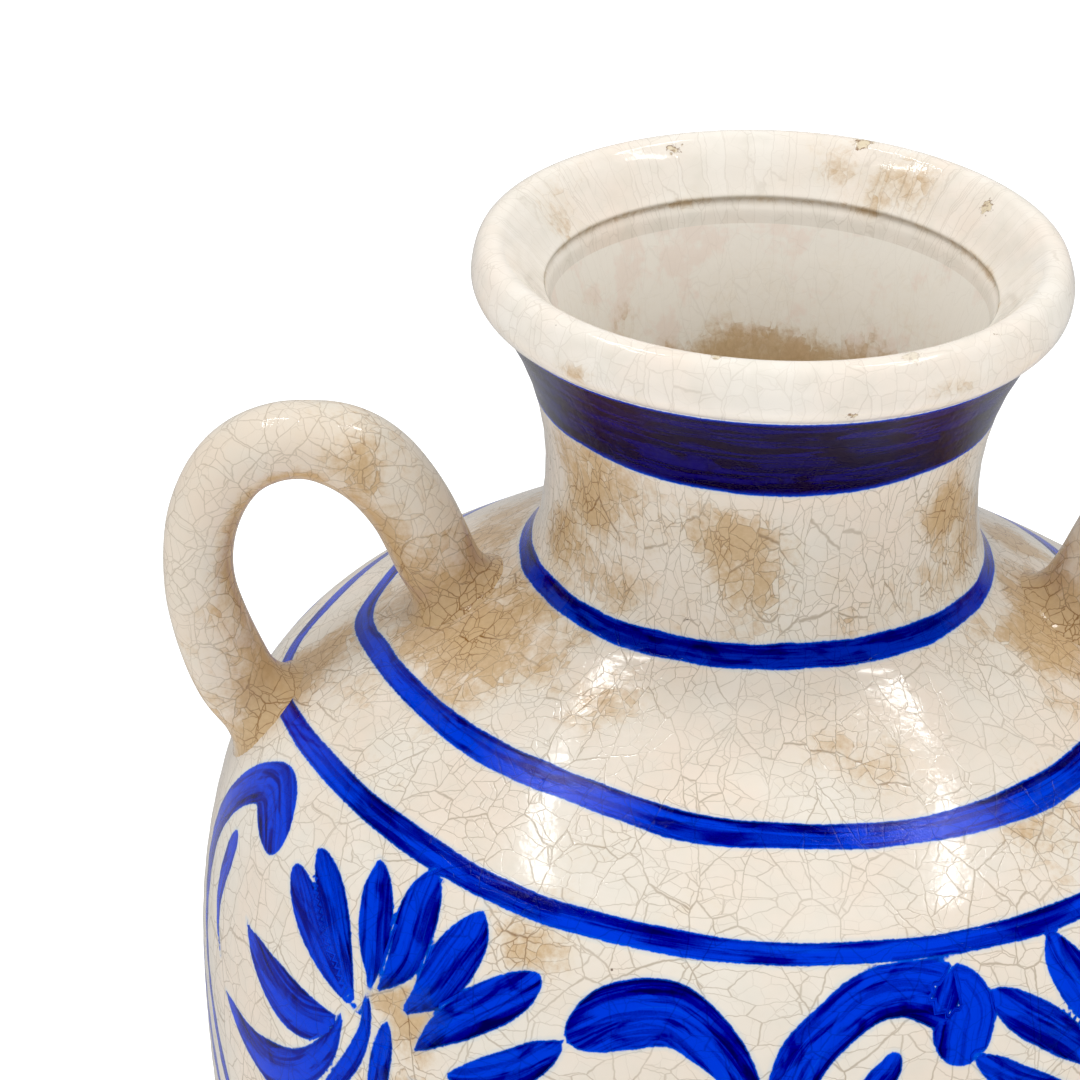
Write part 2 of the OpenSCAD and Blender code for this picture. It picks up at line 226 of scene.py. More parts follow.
# the closed rings, drawn on the wheel: (azimuth, height along the outline, half width)
RINGS = {
    "upper": [(13.8, 96.9, 3), (60, 89.1, 3.1), (100, 88.1, 2.9), (140, 86.6, 2.8), (160.8, 87.9, 2.6), (172.6, 84.7, 2.5), (180.3, 86.6, 2.4), (186.4, 89.1, 2.3), (196.7, 90.8, 2.3), (207.4, 91.5, 2.6), (220.7, 91.1, 3.1), (230.6, 91, 3.1), (239.3, 90.5, 2.9), (247.2, 89.5, 3.2), (254.7, 87.7, 3.4), (261.6, 87.1, 3.3), (268.3, 87.2, 2.8), (275.1, 86.7, 3), (281.9, 86.2, 3.1), (289.1, 85.8, 2.9), (297, 85.9, 3.2), (305.8, 85.9, 3.4), (328.4, 88.1, 3), (347.5, 91.6, 2.8)],
    "lower": [(17.1, 69.8, 2.6), (60, 64.4, 2.8), (100, 63.9, 2.6), (144.6, 74.8, 2.5), (162, 70.7, 2.4), (170.8, 65.2, 2.2), (179.3, 63.3, 2), (190.6, 66.6, 2.3), (202.8, 68.3, 2.5), (215.5, 68.1, 2.7), (225, 67.1, 2.8), (232.9, 65.8, 2.7), (239.7, 64.8, 2.7), (245.9, 64.4, 2.6), (251.6, 64.1, 2.6), (257.2, 63.5, 2.7), (262.6, 63.2, 2.6), (268, 63, 2.5), (273.4, 62.8, 2.5), (278.8, 62.7, 2.4), (284.4, 62.3, 2.3), (290.3, 62.4, 2.4), (296.5, 61.9, 2.5), (319.8, 63, 2.5), (349.3, 65.5, 2.6)],
    "collar": [(-3.2, 127.8, 2.4), (60, 126, 2.6), (120, 126.3, 2.4), (181.4, 126.6, 2.2), (204.7, 126.4, 2.3), (225.1, 125.8, 2.5), (239.5, 126, 2.6), (252.1, 126.1, 2.6), (264, 126.5, 2.6), (275.9, 126.8, 2.7), (288.4, 126.7, 2.6), (302.6, 126.8, 2.7), (321.3, 126.8, 2.3), (338.9, 126.9, 2.2)],
    "base1": [(0, -62, 2.6), (60, -61.2, 2.4), (120, -62.4, 2.7), (180, -61.6, 2.5), (240, -62.3, 2.8), (300, -61.5, 2.4)],
    "base2": [(0, -78, 2.5), (70, -78.6, 2.7), (140, -77.6, 2.4), (210, -78.5, 2.6), (280, -77.8, 2.7)],
}
NECK_EDGE = [(0.0, 164.3), (60.0, 162.7), (120.0, 163.5), (180.0, 164.3), (213.6, 163.6), (230.4, 163.1), (243.9, 162.6), (256.7, 162.3), (268.5, 162.2), (280.0, 162.3), (292.8, 162.6), (307.8, 163.5), (330.0, 163.9)]
FOOT_EDGE = [(0, -138.0), (70, -136.8), (150, -138.6), (220, -137.2), (290, -138.2)]


def around(table, az):
    t = np.array(table, float)
    t = t[np.argsort(t[:, 0])]
    x = np.concatenate([t[-1:, 0] - 360, t[:, 0], t[:1, 0] + 360])
    cols = []
    for c in range(1, t.shape[1]):
        y = np.concatenate([t[-1:, c], t[:, c], t[:1, c]])
        # smooth the corners of the straight pieces by averaging nearby samples
        cols.append(np.mean([np.interp((az + d) % 360, x, y) for d in (-3, -1.5, 0, 1.5, 3)], axis=0))
    return cols


def wiggle(az, seed, amp, lo=3, hi=40):
    g = np.random.default_rng(seed)
    out = np.zeros_like(az)
    for k in range(lo, hi, 3):
        out += g.normal() / (k**0.7) * np.sin(np.radians(az) * k + g.uniform(0, 6.28))
    return amp * out


def dense(stroke):
    p = np.array(stroke, float)
    q = np.concatenate([[2 * p[0] - p[1]], p, [2 * p[-1] - p[-2]]])
    out = []
    for i in range(1, len(q) - 2):
        n = 5
        for t in np.linspace(0, 1, n, endpoint=False):
            out.append(0.5 * ((2 * q[i]) + (-q[i - 1] + q[i + 1]) * t + (2 * q[i - 1] - 5 * q[i] + 4 * q[i + 1] - q[i + 2]) * t**2
                              + (-q[i - 1] + 3 * q[i] - 3 * q[i + 1] + q[i + 2]) * t**3))
    out.append(q[-2])
    out = np.array(out)
    out[:, 2] = np.maximum(out[:, 2], 0.05)
    return out


def paint(az, s, r):
    """Signed distance to the paint and the brush's own coordinates at points of the outside."""
    n = len(az)
    d = np.full(n, 12.0)
    al = np.zeros(n)
    ac = np.zeros(n)
    hw = np.ones(n)
    idn = np.zeros(n)
    dark = np.zeros(n)
    k = 0
    for name, tab in RINGS.items():
        k += 1
        c, w = around(tab, az)
        c = c + wiggle(az, 100 + k, 0.16)
        w = w * (1 + wiggle(az, 200 + k, 0.07))
        e = s - c
        dd = np.abs(e) - w
        m = dd < d
        d[m], ac[m], hw[m], idn[m] = dd[m], e[m], w[m], (k * 0.37) % 1
        dark[m] = 0.42 if name == "collar" else 0.0
        al[m] = (np.radians(az) * 60)[m]
    for name, tab, up in (("neck", NECK_EDGE, True), ("foot", FOOT_EDGE, False)):
        k += 1
        c = around(tab, az)[0] + wiggle(az, 300 + k, 0.22)
        top = 184.1 if up else -200.0
        mid, half = (c + top) / 2, np.abs(c - top) / 2
        dd = np.abs(s - mid) - half
        m = dd < d
        d[m], ac[m], hw[m], idn[m], dark[m] = dd[m], (s - mid)[m], half[m], (k * 0.37) % 1, (1.0 if up else 0.8)
        al[m] = (np.radians(az) * 50)[m]
    g = np.random.default_rng(5)
    for name, st in STROKES.items():
        p = dense(st)
        ident = g.uniform()
        lo_s, hi_s = p[:, 1].min() - 14, p[:, 1].max() + 14
        a_mid = p[:, 0].mean()
        da = (az - a_mid + 180) % 360 - 180
        span = np.abs(p[:, 0] - a_mid).max() + 9
        sel = np.where((s > lo_s) & (s < hi_s) & (np.abs(da) < span))[0]
        if len(sel) == 0:
            continue
        x = np.radians(da[sel]) * r[sel]
        y = s[sel]
        best = np.full(len(sel), 99.0)
        bl = np.zeros(len(sel))
        bc = np.zeros(len(sel))
        bw = np.ones(len(sel))
        run = 0.0
        for i in range(len(p) - 1):
            ax_, bx_ = np.radians(p[i, 0] - a_mid) * r[sel], np.radians(p[i + 1, 0] - a_mid) * r[sel]
            ay, by = p[i, 1], p[i + 1, 1]
            vx, vy = bx_ - ax_, by - ay
            ll = vx * vx + vy * vy + 1e-9
            t = np.clip(((x - ax_) * vx + (y - ay) * vy) / ll, 0, 1)
            ex, ey = x - ax_ - t * vx, y - ay - t * vy
            w = p[i, 2] + t * (p[i + 1, 2] - p[i, 2])
            dist = np.hypot(ex, ey)
            dd = dist - w
            m = dd < best
            ln = np.sqrt(ll)
            side = (vx * ey - vy * ex) / ln
            best[m], bl[m], bc[m], bw[m] = dd[m], (run + t * ln)[m], side[m], w[m]
            run += float(np.median(ln))
        m = (best < d[sel]) | (best < 0.1)
        j = sel[m]
        d[j], al[j], ac[j], hw[j], idn[j], dark[j] = best[m], bl[m], bc[m], bw[m], ident, 0.0
    return d, al, ac, hw, idn, dark


# where the glaze is stained: (azimuth, height along the outline, reach round, reach up, strength)
STAINS = [
    (214, 153, 11, 12, 0.95), (206, 138, 9, 10, 0.9), (226, 136, 9, 8, 0.6), (236, 152, 7, 8, 0.35), (258, 146, 9, 11, 0.75), (252, 136, 8, 6, 0.55),
    (272, 138, 10, 5, 0.35), (318, 151, 8, 10, 0.85), (312, 136, 9, 9, 0.6), (330, 142, 9, 12, 0.7), (300, 156, 7, 5, 0.25),
    (219, 118, 8, 7, 0.7), (234, 111, 9, 8, 0.75), (201, 109, 12, 12, 1), (198, 121, 12, 7, 0.9), (206, 96, 10, 8, 0.8), (190, 100, 12, 12, 0.9),
    (178, 78, 14, 12, 0.8), (192, 82, 10, 8, 0.55), (213, 102, 8, 6, 0.45), (338, 108, 13, 12, 1), (324, 104, 9, 8, 0.6), (349, 97, 14, 12, 0.8), (304, 77, 10, 8, 0.8), (311, 82, 8, 6, 0.6),
    (286, 100, 8, 5, 0.5), (254, 111, 7, 5, 0.2), (276, 107, 6, 4, 0.25),
    (229, 34, 9, 9, 0.9), (224, 30, 6, 6, 0.7), (240, 58, 7, 6, 0.75), (236, 62, 5, 4, 0.5), (241, 26, 8, 6, 0.6), (230, 20, 10, 8, 0.5), (262, 58, 6, 3, 0.15),
    (206, 76, 7, 5, 0.3), (246, 76, 8, 4, 0.12), (298, 41, 8, 6, 0.3),
    (15, 114, 12, 10, 0.8), (48, 118, 10, 8, 0.6), (80, 112, 8, 7, 0.5), (110, 120, 10, 8, 0.8), (146, 114, 12, 9, 0.7), (163, 114, 12, 12, 0.9),
    (30, 146, 10, 12, 0.8), (70, 140, 9, 9, 0.5), (95, 152, 8, 9, 0.75), (130, 138, 11, 9, 0.7), (160, 150, 9, 10, 0.6),
    (60, 78, 9, 7, 0.6), (120, 74, 10, 8, 0.5), (8, 88, 12, 9, 0.6),
    (50, 36, 9, 9, 0.8), (95, 12, 12, 10, 0.5), (130, 40, 9, 9, 0.7), (310, 34, 9, 9, 0.8), (285, -4, 12, 9, 0.5), (250, -40, 14, 10, 0.5),
    (200, -45, 16, 10, 0.5), (320, -50, 14, 12, 0.6), (20, -40, 14, 12, 0.5), (100, -48, 16, 10, 0.6), (150, -20, 12, 10, 0.5),
    (170, -100, 18, 14, 0.6), (240, -96, 14, 10, 0.5), (300, -110, 18, 12, 0.7), (40, -104, 16, 12, 0.6), (100, -112, 18, 12, 0.5),
]


def stains_and_darkening(az, s, r):
    out = np.zeros(len(az))
    for a, c, wa, ws, k in STAINS:
        da = ((az - a + 180) % 360 - 180) * np.pi / 180 * r
        out = np.maximum(out, k * np.exp(-0.5 * ((da / wa) ** 2 + ((s - c) / ws) ** 2)))
    # darker round the roots of the handles, both sides
    for a in (353.0, 180.0):
        da = ((az - a + 180) % 360 - 180) * np.pi / 180 * r
        for c, k, w in ((107.0, 1.0, 13.0), (70.0, .8, 13.0)):
            out = np.maximum(out, k * np.exp(-0.5 * ((da / w) ** 2 + ((s - c) / w) ** 2)))
    # darker in a band just above the ring at the neck and in a band near the foot
    out = np.maximum(out, .34 * np.exp(-0.5 * ((s - 131) / 5) ** 2))
    out = np.maximum(out, .55 * np.exp(-0.5 * ((s + 132) / 9) ** 2))
    return out


# ---------------------------------------------------------------- mesh building
NPHI = 640
PHI = np.linspace(0, 2 * np.pi, NPHI, endpoint=False)


def mesh_object(name, verts, quads, normals, attrs, uvs=None, tris=None):
    me = bpy.data.meshes.new(name)
    faces = [tuple(q) for q in quads.tolist()]
    if tris is not None:
        faces += [tuple(t) for t in tris]
    me.from_pydata((verts * MM).tolist(), [], faces)
    me.update()
    me.polygons.foreach_set("use_smooth", np.ones(len(me.polygons), bool))
    if normals is not None:
        me.normals_split_custom_set(normals.tolist())
    for k, v in attrs.items():
        a = me.attributes.new(k, "FLOAT", "POINT")
        a.data.foreach_set("value", np.ascontiguousarray(v, dtype=np.float32))
    if uvs is not None:
        lay = me.uv_layers.new(name="OFBake")
        lay.data.foreach_set("uv", np.ascontiguousarray(uvs, dtype=np.float32).ravel())
    me.validate(clean_customdata=False)
    ob = bpy.data.objects.new(name, me)
    bpy.context.scene.collection.objects.link(ob)
    return ob


def revolve(name, chains):
    """A closed solid of revolution. Each chain is (points, normals, kind); neighbours share their end point.
    kind is "out" for the painted outside, anything else is plain glaze."""
    pts, ring_of, spans = [], [], []
    for p, nrm, kind in chains:
        base = len(pts)
        idx = []
        for i, q in enumerate(p):
            if i == 0 and pts and np.hypot(*(np.array(pts[-1]) - q)) < 1e-6:
                idx.append(len(pts) - 1)
            else:
                pts.append(tuple(q))
                idx.append(len(pts) - 1)
        spans.append((idx, nrm, kind, p))
    pts = np.array(pts)
    closed = np.hypot(*(pts[0] - pts[-1])) < 1e-6
    last = len(pts) - 1
    on_axis = [i for i in range(len(pts)) if pts[i, 0] < 1e-6]
    r = pts[:, 0][:, None]
    h = pts[:, 1][:, None]
    ph = PHI[None, :]
    rr = r + wobble(ph, h) * np.clip(r / 30, 0, 1)
    v = np.stack([rr * np.cos(ph), rr * np.sin(ph), np.broadcast_to(h, rr.shape)], -1)
    # attributes per ring
    s_of = np.full(len(pts), np.nan)
    kind_of = np.zeros(len(pts))
    for idx, nrm, kind, p in spans:
        if kind == "out":
            for i, q in zip(idx, p):
                s_of[i] = np.interp(q[1], FULL[:, 1], FULL_S)
                kind_of[i] = 1
    az = np.degrees(ph + 0 * r)
    at = {}
    flat = kind_of[:, None] + 0 * ph > 0.5
    sv = np.broadcast_to(np.nan_to_num(s_of)[:, None], flat.shape)
    d = np.full(flat.shape, 12.0)
    al, ac, hw, idn, dk = (np.zeros(flat.shape) for _ in range(5))
    hw += 1
    st = np.zeros(flat.shape)
    if flat.any():
        q = paint(az[flat], sv[flat], rr[flat])
        d[flat], al[flat], ac[flat], hw[flat], idn[flat], dk[flat] = q
        st[flat] = stains_and_darkening(az[flat], sv[flat], rr[flat])
    inside = 1.0 - kind_of[:, None] + 0 * ph
    if "neck" in name:
        turn_ = (az - 78 + 180) % 360 - 180
        st = np.where(flat, st, 0.95 * np.exp(-0.5 * ((turn_ / 26) ** 2 + ((h + 0 * ph - 258) / 9) ** 2)) + 0.4 * np.exp(-0.5 * ((h + 0 * ph - 262) / 10) ** 2))
    if "rim" in name:
        for a_, h_, wa_, wh_, k_ in ((52, 304, 9, 5, .9), (68, 305, 7, 4, .8), (150, 302, 8, 5, .6), (200, 301, 9, 4, .6), (226, 300, 5, 4, .7), (300, 301, 7, 4, .8), (318, 303, 5, 4, .7), (278, 297, 6, 3, .5)):
            turn_ = (az - a_ + 180) % 360 - 180
            st = np.maximum(st, k_ * np.exp(-0.5 * ((turn_ / wa_) ** 2 + ((h + 0 * ph - h_) / wh_) ** 2)))
        # painted shadow: a thin dark ring in the groove inside the mouth, put into the stain mask
        st = np.maximum(st, .75 * np.exp(-0.5 * ((((r + 0 * ph) - 45.9) / 1.0) ** 2 + ((h + 0 * ph - 298.4) / 1.0) ** 2)))
    # ring numbering, with the axis collapsed to one vertex
    keep = np.ones(len(pts), bool)
    if closed:
        keep[last] = False
    order, start, verts, cols = {}, 0, [], {k: [] for k in ("pd", "pa", "px", "pw", "pi", "pk", "st", "ins")}
    vals = dict(pd=d, pa=al, px=ac, pw=hw, pi=idn, pk=dk, st=st, ins=inside)
    for i in range(len(pts)):
        if not keep[i]:
            order[i] = order[0]
            continue
        if pts[i, 0] < 1e-6:
            order[i] = (start, True)
            verts.append(np.array([[0, 0, pts[i, 1]]]))
            for k in cols:
                cols[k].append(vals[k][i, :1])
            start += 1
        else:
            order[i] = (start, False)
            verts.append(v[i])
            for k in cols:
                cols[k].append(vals[k][i])
            start += NPHI
    verts = np.concatenate(verts)
    cols = {k: np.concatenate(c) for k, c in cols.items()}
    j = np.arange(NPHI)
    jn = (j + 1) % NPHI
    quads, qn, quv, tris, tn, tuv = [], [], [], [], [], []
    total = sum(len(p) for _, _, _, p in spans)
    done = 0
    for idx, nrm, kind, p in spans:
        for a in range(len(idx) - 1):
            (sa, xa), (sb, xb) = order[idx[a]], order[idx[a + 1]]
            na, nb = nrm[a], nrm[a + 1]
            va, vb = (done + a) / total, (done + a + 1) / total
            cs, sn = np.cos(PHI), np.sin(PHI)
            A = np.stack([na[0] * cs, na[0] * sn, np.full(NPHI, na[1])], -1)
            B = np.stack([nb[0] * cs, nb[0] * sn, np.full(NPHI, nb[1])], -1)
            u0, u1 = j / NPHI, (j + 1) / NPHI
            if xa:
                tris.append(np.stack([np.full(NPHI, sa), sb + jn, sb + j], -1))
                tn.append(np.stack([A, B[jn], B], 1))
                tuv.append(np.stack([np.stack([u0, 0 * u0 + va], -1), np.stack([u1, 0 * u0 + vb], -1), np.stack([u0, 0 * u0 + vb], -1)], 1))
            elif xb:
                tris.append(np.stack([sa + j, sa + jn, np.full(NPHI, sb)], -1))
                tn.append(np.stack([A, A[jn], B], 1))
                tuv.append(np.stack([np.stack([u0, 0 * u0 + va], -1), np.stack([u1, 0 * u0 + va], -1), np.stack([u0, 0 * u0 + vb], -1)], 1))
            else:
                quads.append(np.stack([sa + j, sa + jn, sb + jn, sb + j], -1))
                qn.append(np.stack([A, A[jn], B[jn], B], 1))
                quv.append(np.stack([np.stack([u0, 0 * u0 + va], -1), np.stack([u1, 0 * u0 + va], -1),
                                     np.stack([u1, 0 * u0 + vb], -1), np.stack([u0, 0 * u0 + vb], -1)], 1))
        done += len(idx)
    quads = np.concatenate(quads)
    nrm = np.concatenate(qn).reshape(-1, 3)
    uv = np.concatenate(quv).reshape(-1, 2)
    tr = None
    if tris:
        tr = np.concatenate(tris).tolist()
        nrm = np.concatenate([nrm, np.concatenate(tn).reshape(-1, 3)])
        uv = np.concatenate([uv, np.concatenate(tuv).reshape(-1, 2)])
    nrm = nrm / np.maximum(np.linalg.norm(nrm, axis=1), 1e-9)[:, None]
    return mesh_object(name, verts, quads, nrm, cols, uv, tr)


def out_chain(s0, s1, step):
    n = max(2, int(round((s1 - s0) / step)) + 1)
    s = np.linspace(s0, s1, n)
    r, h, nr, nh = at_s(s)
    return np.stack([r, h], -1), np.stack([nr, nh], -1), "out"


def plain(p, kind="in"):
    p = np.array(p, float)
    return p, chain_normals(p), kind


def straight(a, b, n=2, kind="in"):
    p = np.linspace(np.array(a, float), np.array(b, float), n)
    return plain(p, kind)


# lower body, from the foot joint up to the girth and back down inside
s_out = out_chain(S_FOOT, 0.0, 1.25)
in_low = np.concatenate([arc(LOW_C, 400 - WALL, 0, -5, 6)[:-1],
                         arc(BOWL_C, 120 - WALL, -5, -math.degrees(math.asin((BOWL_C[1] - 25) / (120 - WALL))), 24)])
foot_pt = s_out[0][0]
lower = revolve("lower_body_glazed", [
    s_out,
    straight(s_out[0][-1], in_low[0]),
    plain(in_low),
    straight(in_low[-1], (0, 25.0), 4),
])
# underside of the floor closes the piece inside the foot ring
under = revolve("lower_body_floor_underside", [
    straight((0, 16.0), (45.9, 16.0), 4), straight((45.9, 16.0), (foot_pt[0] - .4, 16.0), 2), straight((foot_pt[0] - .4, 16.0), (foot_pt[0] - .4, 16.6), 2),
    straight((foot_pt[0] - .4, 16.6), (0, 16.6), 3)])

in_up = np.concatenate([[[bore_r(JOINT_H), JOINT_H]],
                        [[bore_r(JOINT_H), (BEND_E - WALL * N_S)[1] + ((BEND_E - WALL * N_S)[0] - bore_r(JOINT_H)) * FALL]],
                        np.concatenate([arc(BEND_C, 34 - WALL, 58.5, 17.7, 14)[:-1], arc(SIDE_C, 140 - WALL, 17.7, 0, 8)])])
s_up = out_chain(0.0, S_COIL0, 1.1)
shoulder = revolve("shoulder_glazed", [
    s_up,
    straight(s_up[0][-1], (JOINT_R, JOINT_H)),
    straight((JOINT_R, JOINT_H), in_up[0]),
    straight(in_up[0], in_up[1]),
    plain(in_up[1:]),
    straight(in_up[-1], s_up[0][0]),
])

c_up = out_chain(S_COIL0, S_COIL1, 0.7)
coil = revolve("neck_joint_coil_glazed", [
    c_up,
    plain([c_up[0][-1], [neck_r(239.4) + .02, 239.4], [JOINT_R, JOINT_H]]),
    straight((JOINT_R, JOINT_H), c_up[0][0]),
])

n_up = out_chain(S_COIL1, S_RIM, 0.8)
bore = arc(BORE_C, 126.5, 180 - math.degrees(math.asin((RIM_J - 252) / 126.5)), 180 - math.degrees(math.asin((JOINT_H - 252) / 126.5)), 40)
neck = revolve("neck_glazed", [
    n_up,
    straight(n_up[0][-1], bore[0]),
    plain(bore),
    straight(bore[-1], (JOINT_R, JOINT_H)),
    plain([[JOINT_R, JOINT_H], [neck_r(239.4), 239.4], n_up[0][0]]),
])

# rolled rim: underside, nose, crest, inner slope, lip, tool groove
u0 = -math.degrees(math.asin(9 / 11.1))
rim_pts = np.concatenate([arc((49.9, 302.5), 11.1, u0, 0, 14)[:-1],
                          arc((47.0, 302.5), 14, 0, 22.4, 8)[:-1],
                          arc((56.71, 306.5), 3.5, 22.4, 134, 16)[:-1],
                          smooth_curve([(54.2, 308.95), (52.2, 307.15), (50.3, 304.9), (48.6, 302.6), (47.2, 300.7), (46.3, 299.6), (45.95, 299.1), (46.25, 298.6),
                                        (46.3, 298.0), (45.9, 297.3), (45.35, 296.4), (44.95, 295.2)], 5),
                          [[bore[0][0], RIM_J]]])
rim_pts = resample(rim_pts, 0.55)
rim = revolve("mouth_rim_glazed", [
    (rim_pts, chain_normals(rim_pts), "rim"),
    straight(rim_pts[-1], rim_pts[0]),
])
# the roll was pressed down a little along the front
for v in rim.data.vertices:
    a_ = math.atan2(v.co.y, v.co.x) - math.radians(263.5 - 180)
    up_ = min(1.0, max(0.0, (v.co.z - 0.2935) / 0.012))
    v.co.z -= 0.0036 * 0.5 * (1 - math.cos(a_)) * up_

# foot ring
_f = np.concatenate([arc((59.5, 2.5), 2.5, -90, 0, 8),
                     smooth_curve([(61.85, 4.2), (60.9, 6.2), (59.2, 8.4), (57.9, 10.9), (57.3, 13.4), (foot_pt[0], 16.0)], 5)])
foot = revolve("foot_ring_glazed", [
    plain(np.concatenate([[(54.5, 0.0)], _f]), "foot"),
    straight(_f[-1], (46.0, 16.0)),
    plain(np.concatenate([smooth_curve([(46.0, 16.0), (46.4, 10.0), (46.9, 5.0)], 5), arc((49.5, 2.5), 2.5, 180, 270, 8)]), "foot"),
    straight((49.5, 0.0), (54.5, 0.0), 2, "foot"),
])


# ---------------------------------------------------------------- handles
# centreline of the strap in its own plane (radius, height) and the thickness of the roll along it
MIDLINE = np.array([(59.3, 219.6), (61.6, 224), (64, 228.5), (68, 236.2), (70.9, 242.8), (73.3, 247.7), (76.3, 252.4), (79.8, 256.7), (84.1, 260.2), (89, 262.5),
                    (94.4, 263.5), (99.8, 263.2), (104.8, 261.5), (109.1, 258.6), (112.5, 254.5), (115.1, 249.5), (116.9, 244.1), (117.8, 238.6),
                    (118, 233.1), (117.5, 227.7), (116.3, 222.5), (114.7, 217.3), (112.8, 212.2), (110.5, 207.2), (107.7, 203.3), (104.7, 199.9),
                    (101, 196), (97, 192)])
THICK = np.array([8.6, 8.6, 8.6, 8.6, 8.6, 8.65, 8.8, 8.9, 8.8, 8.5, 8.1, 8.15, 8.2, 8.1, 7.9, 7.7, 7.6, 7.5, 7.5, 7.65, 7.85, 8.1, 8.4, 8.6, 8.7, 8.8, 8.8, 8.8])
LEAN = {1: (2.5, math.radians(-7.0)), -1: (0.0, 0.0)}  # how far each handle stands out, and its turn about the axis
_fine = smooth_curve(np.column_stack([MIDLINE, THICK]), 14)
_len = np.concatenate([[0], np.cumsum(np.hypot(*np.diff(_fine[:, :2], axis=0).T))])
_at = np.linspace(0, _len[-1], 420)
path = np.stack([np.interp(_at, _len, _fine[:, 0]), np.interp(_at, _len, _fine[:, 1])], -1)
path_r = np.interp(_at, _len, _fine[:, 2])


def body_gap(p):
    """Distance of points from the outside of the body, positive outside."""
    r = np.hypot(p[:, 0], p[:, 1])
    h = p[:, 2]
    out = np.full(len(p), 99.0)
    near = np.where((h < 246) & (r < 140))[0]
    sel = (FULL_S > 0) & (FULL_S < 130)
    F = FULL[sel]
    for k0 in range(0, len(near), 4000):
        ii = near[k0:k0 + 4000]
        dd = np.hypot(r[ii, None] - F[None, :, 0], h[ii, None] - F[None, :, 1])
        j = dd.argmin(1)
        t = FULL_T[sel][j]
        nr, nh = t[:, 1], -t[:, 0]
        out[ii] = (r[ii] - F[j, 0]) * nr + (h[ii] - F[j, 1]) * nh
    return out


NT = 96
THETA = np.linspace(0, 2 * np.pi, NT, endpoint=False)
FILLET = 6.0


def tube_rings(side, seed):
    d = np.concatenate([[0], np.cumsum(np.hypot(*np.diff(path, axis=0).T))])
    t = np.gradient(path, d, axis=0)
    t /= np.hypot(t[:, 0], t[:, 1])[:, None]
    g = np.random.default_rng(seed)
    c = np.stack([path[:, 0] + LEAN[side][0], 0 * d, path[:, 1]], -1)
    # slight drift of a hand-rolled coil
    lat = 0.5 * np.sin(d / 21 + g.uniform(0, 6)) + 0.3 * np.sin(d / 9 + g.uniform(0, 6))
    nearend = np.clip(np.minimum(d, d[-1] - d) / 25, 0, 1)
    c[:, 1] += lat * nearend
    e1 = np.stack([-t[:, 1], 0 * d, t[:, 0]], -1)  # in the plane of the loop
    e2 = np.tile([0, 1.0, 0], (len(d), 1))
    rad = path_r * (1 + 0.018 * np.sin(d / 13 + g.uniform(0, 6)) + 0.012 * np.sin(d / 5.1 + g.uniform(0, 6)))
    ct, sn = np.cos(THETA), np.sin(THETA)
    shape = 1 - 0.045 * np.cos(2 * THETA) + 0.04
    e = e1[:, None, :] * ct[None, :, None] + e2[:, None, :] * sn[None, :, None]
    base = rad[:, None] * shape[None, :] * (1 + 0.008 * np.sin(3 * THETA[None, :] + d[:, None] / 11))
    rho = base.copy()
    for _ in range(4):
        p = c[:, None, :] + e * rho[:, :, None]
        gap = body_gap(p.reshape(-1, 3)).reshape(rho.shape)
        gg = np.clip(gap, 0.12, FILLET)
        f = FILLET - np.sqrt(np.maximum(FILLET**2 - (FILLET - gg) ** 2, 0))
        rho = 0.45 * rho + 0.55 * (base + 0.75 * f)
    p = c[:, None, :] + e * rho[:, :, None]
    gap = body_gap(p.reshape(-1, 3)).reshape(rho.shape)
    if side < 0:
        p = p * np.array([-1, -1, 1.0])
    ca, sa = math.cos(LEAN[side][1]), math.sin(LEAN[side][1])
    p = np.stack([p[..., 0] * ca - p[..., 1] * sa, p[..., 0] * sa + p[..., 1] * ca, p[..., 2]], -1)
    return p, gap, d, c


def grid_normals(p):
    """Normals of a grid closed in its second direction."""
    du = np.gradient(p, axis=0)
    dv = (np.roll(p, -1, 1) - np.roll(p, 1, 1)) / 2
    n = np.cross(du, dv)
    return n / np.maximum(np.linalg.norm(n, axis=2), 1e-9)[:, :, None]


def tube_mesh(name, parts, extra):
    """parts: list of (points grid, normals grid, attribute grids)."""
    verts, quads, nrm, uvs, base = [], [], [], [], 0
    cols = {k: [] for k in ("pd", "pa", "px", "pw", "pi", "pk", "st", "ins", "hang")}
    tris = []
    v0 = 0.0
    for p, n, st, caps in parts:
        a, b = p.shape[:2]
        verts.append(p.reshape(-1, 3))
        j = np.arange(b)
        jn = (j + 1) % b
        for i in range(a - 1):
            quads.append(np.stack([base + i * b + j, base + (i + 1) * b + j, base + (i + 1) * b + jn, base + i * b + jn], -1))
            nrm.append(np.stack([n[i], n[i + 1], n[i + 1][jn], n[i][jn]], 1))
            u0, u1 = j / b, (j + 1) / b
            va, vb = v0 + i / (a - 1) * .48, v0 + (i + 1) / (a - 1) * .48
            uvs.append(np.stack([np.stack([u0, 0 * u0 + va], -1), np.stack([u0, 0 * u0 + vb], -1), np.stack([u1, 0 * u0 + vb], -1), np.stack([u1, 0 * u0 + va], -1)], 1))
        cols["st"].append(st.reshape(-1))
        cols["hang"].append(np.clip(-n[:, :, 2], 0, 1).reshape(-1))
        base += a * b
        v0 += .5
    verts = np.concatenate(verts)
    n_v = len(verts)
    for k in ("pa", "px", "pi", "pk", "ins"):
        cols[k] = np.zeros(n_v)
    cols["pd"] = np.full(n_v, 12.0)
    cols["pw"] = np.ones(n_v)
    cols["st"] = np.concatenate(cols["st"])
    cols["hang"] = np.concatenate(cols["hang"])
    return mesh_object(name, verts, np.concatenate(quads), np.concatenate(nrm).reshape(-1, 3), cols, np.concatenate(uvs).reshape(-1, 2))


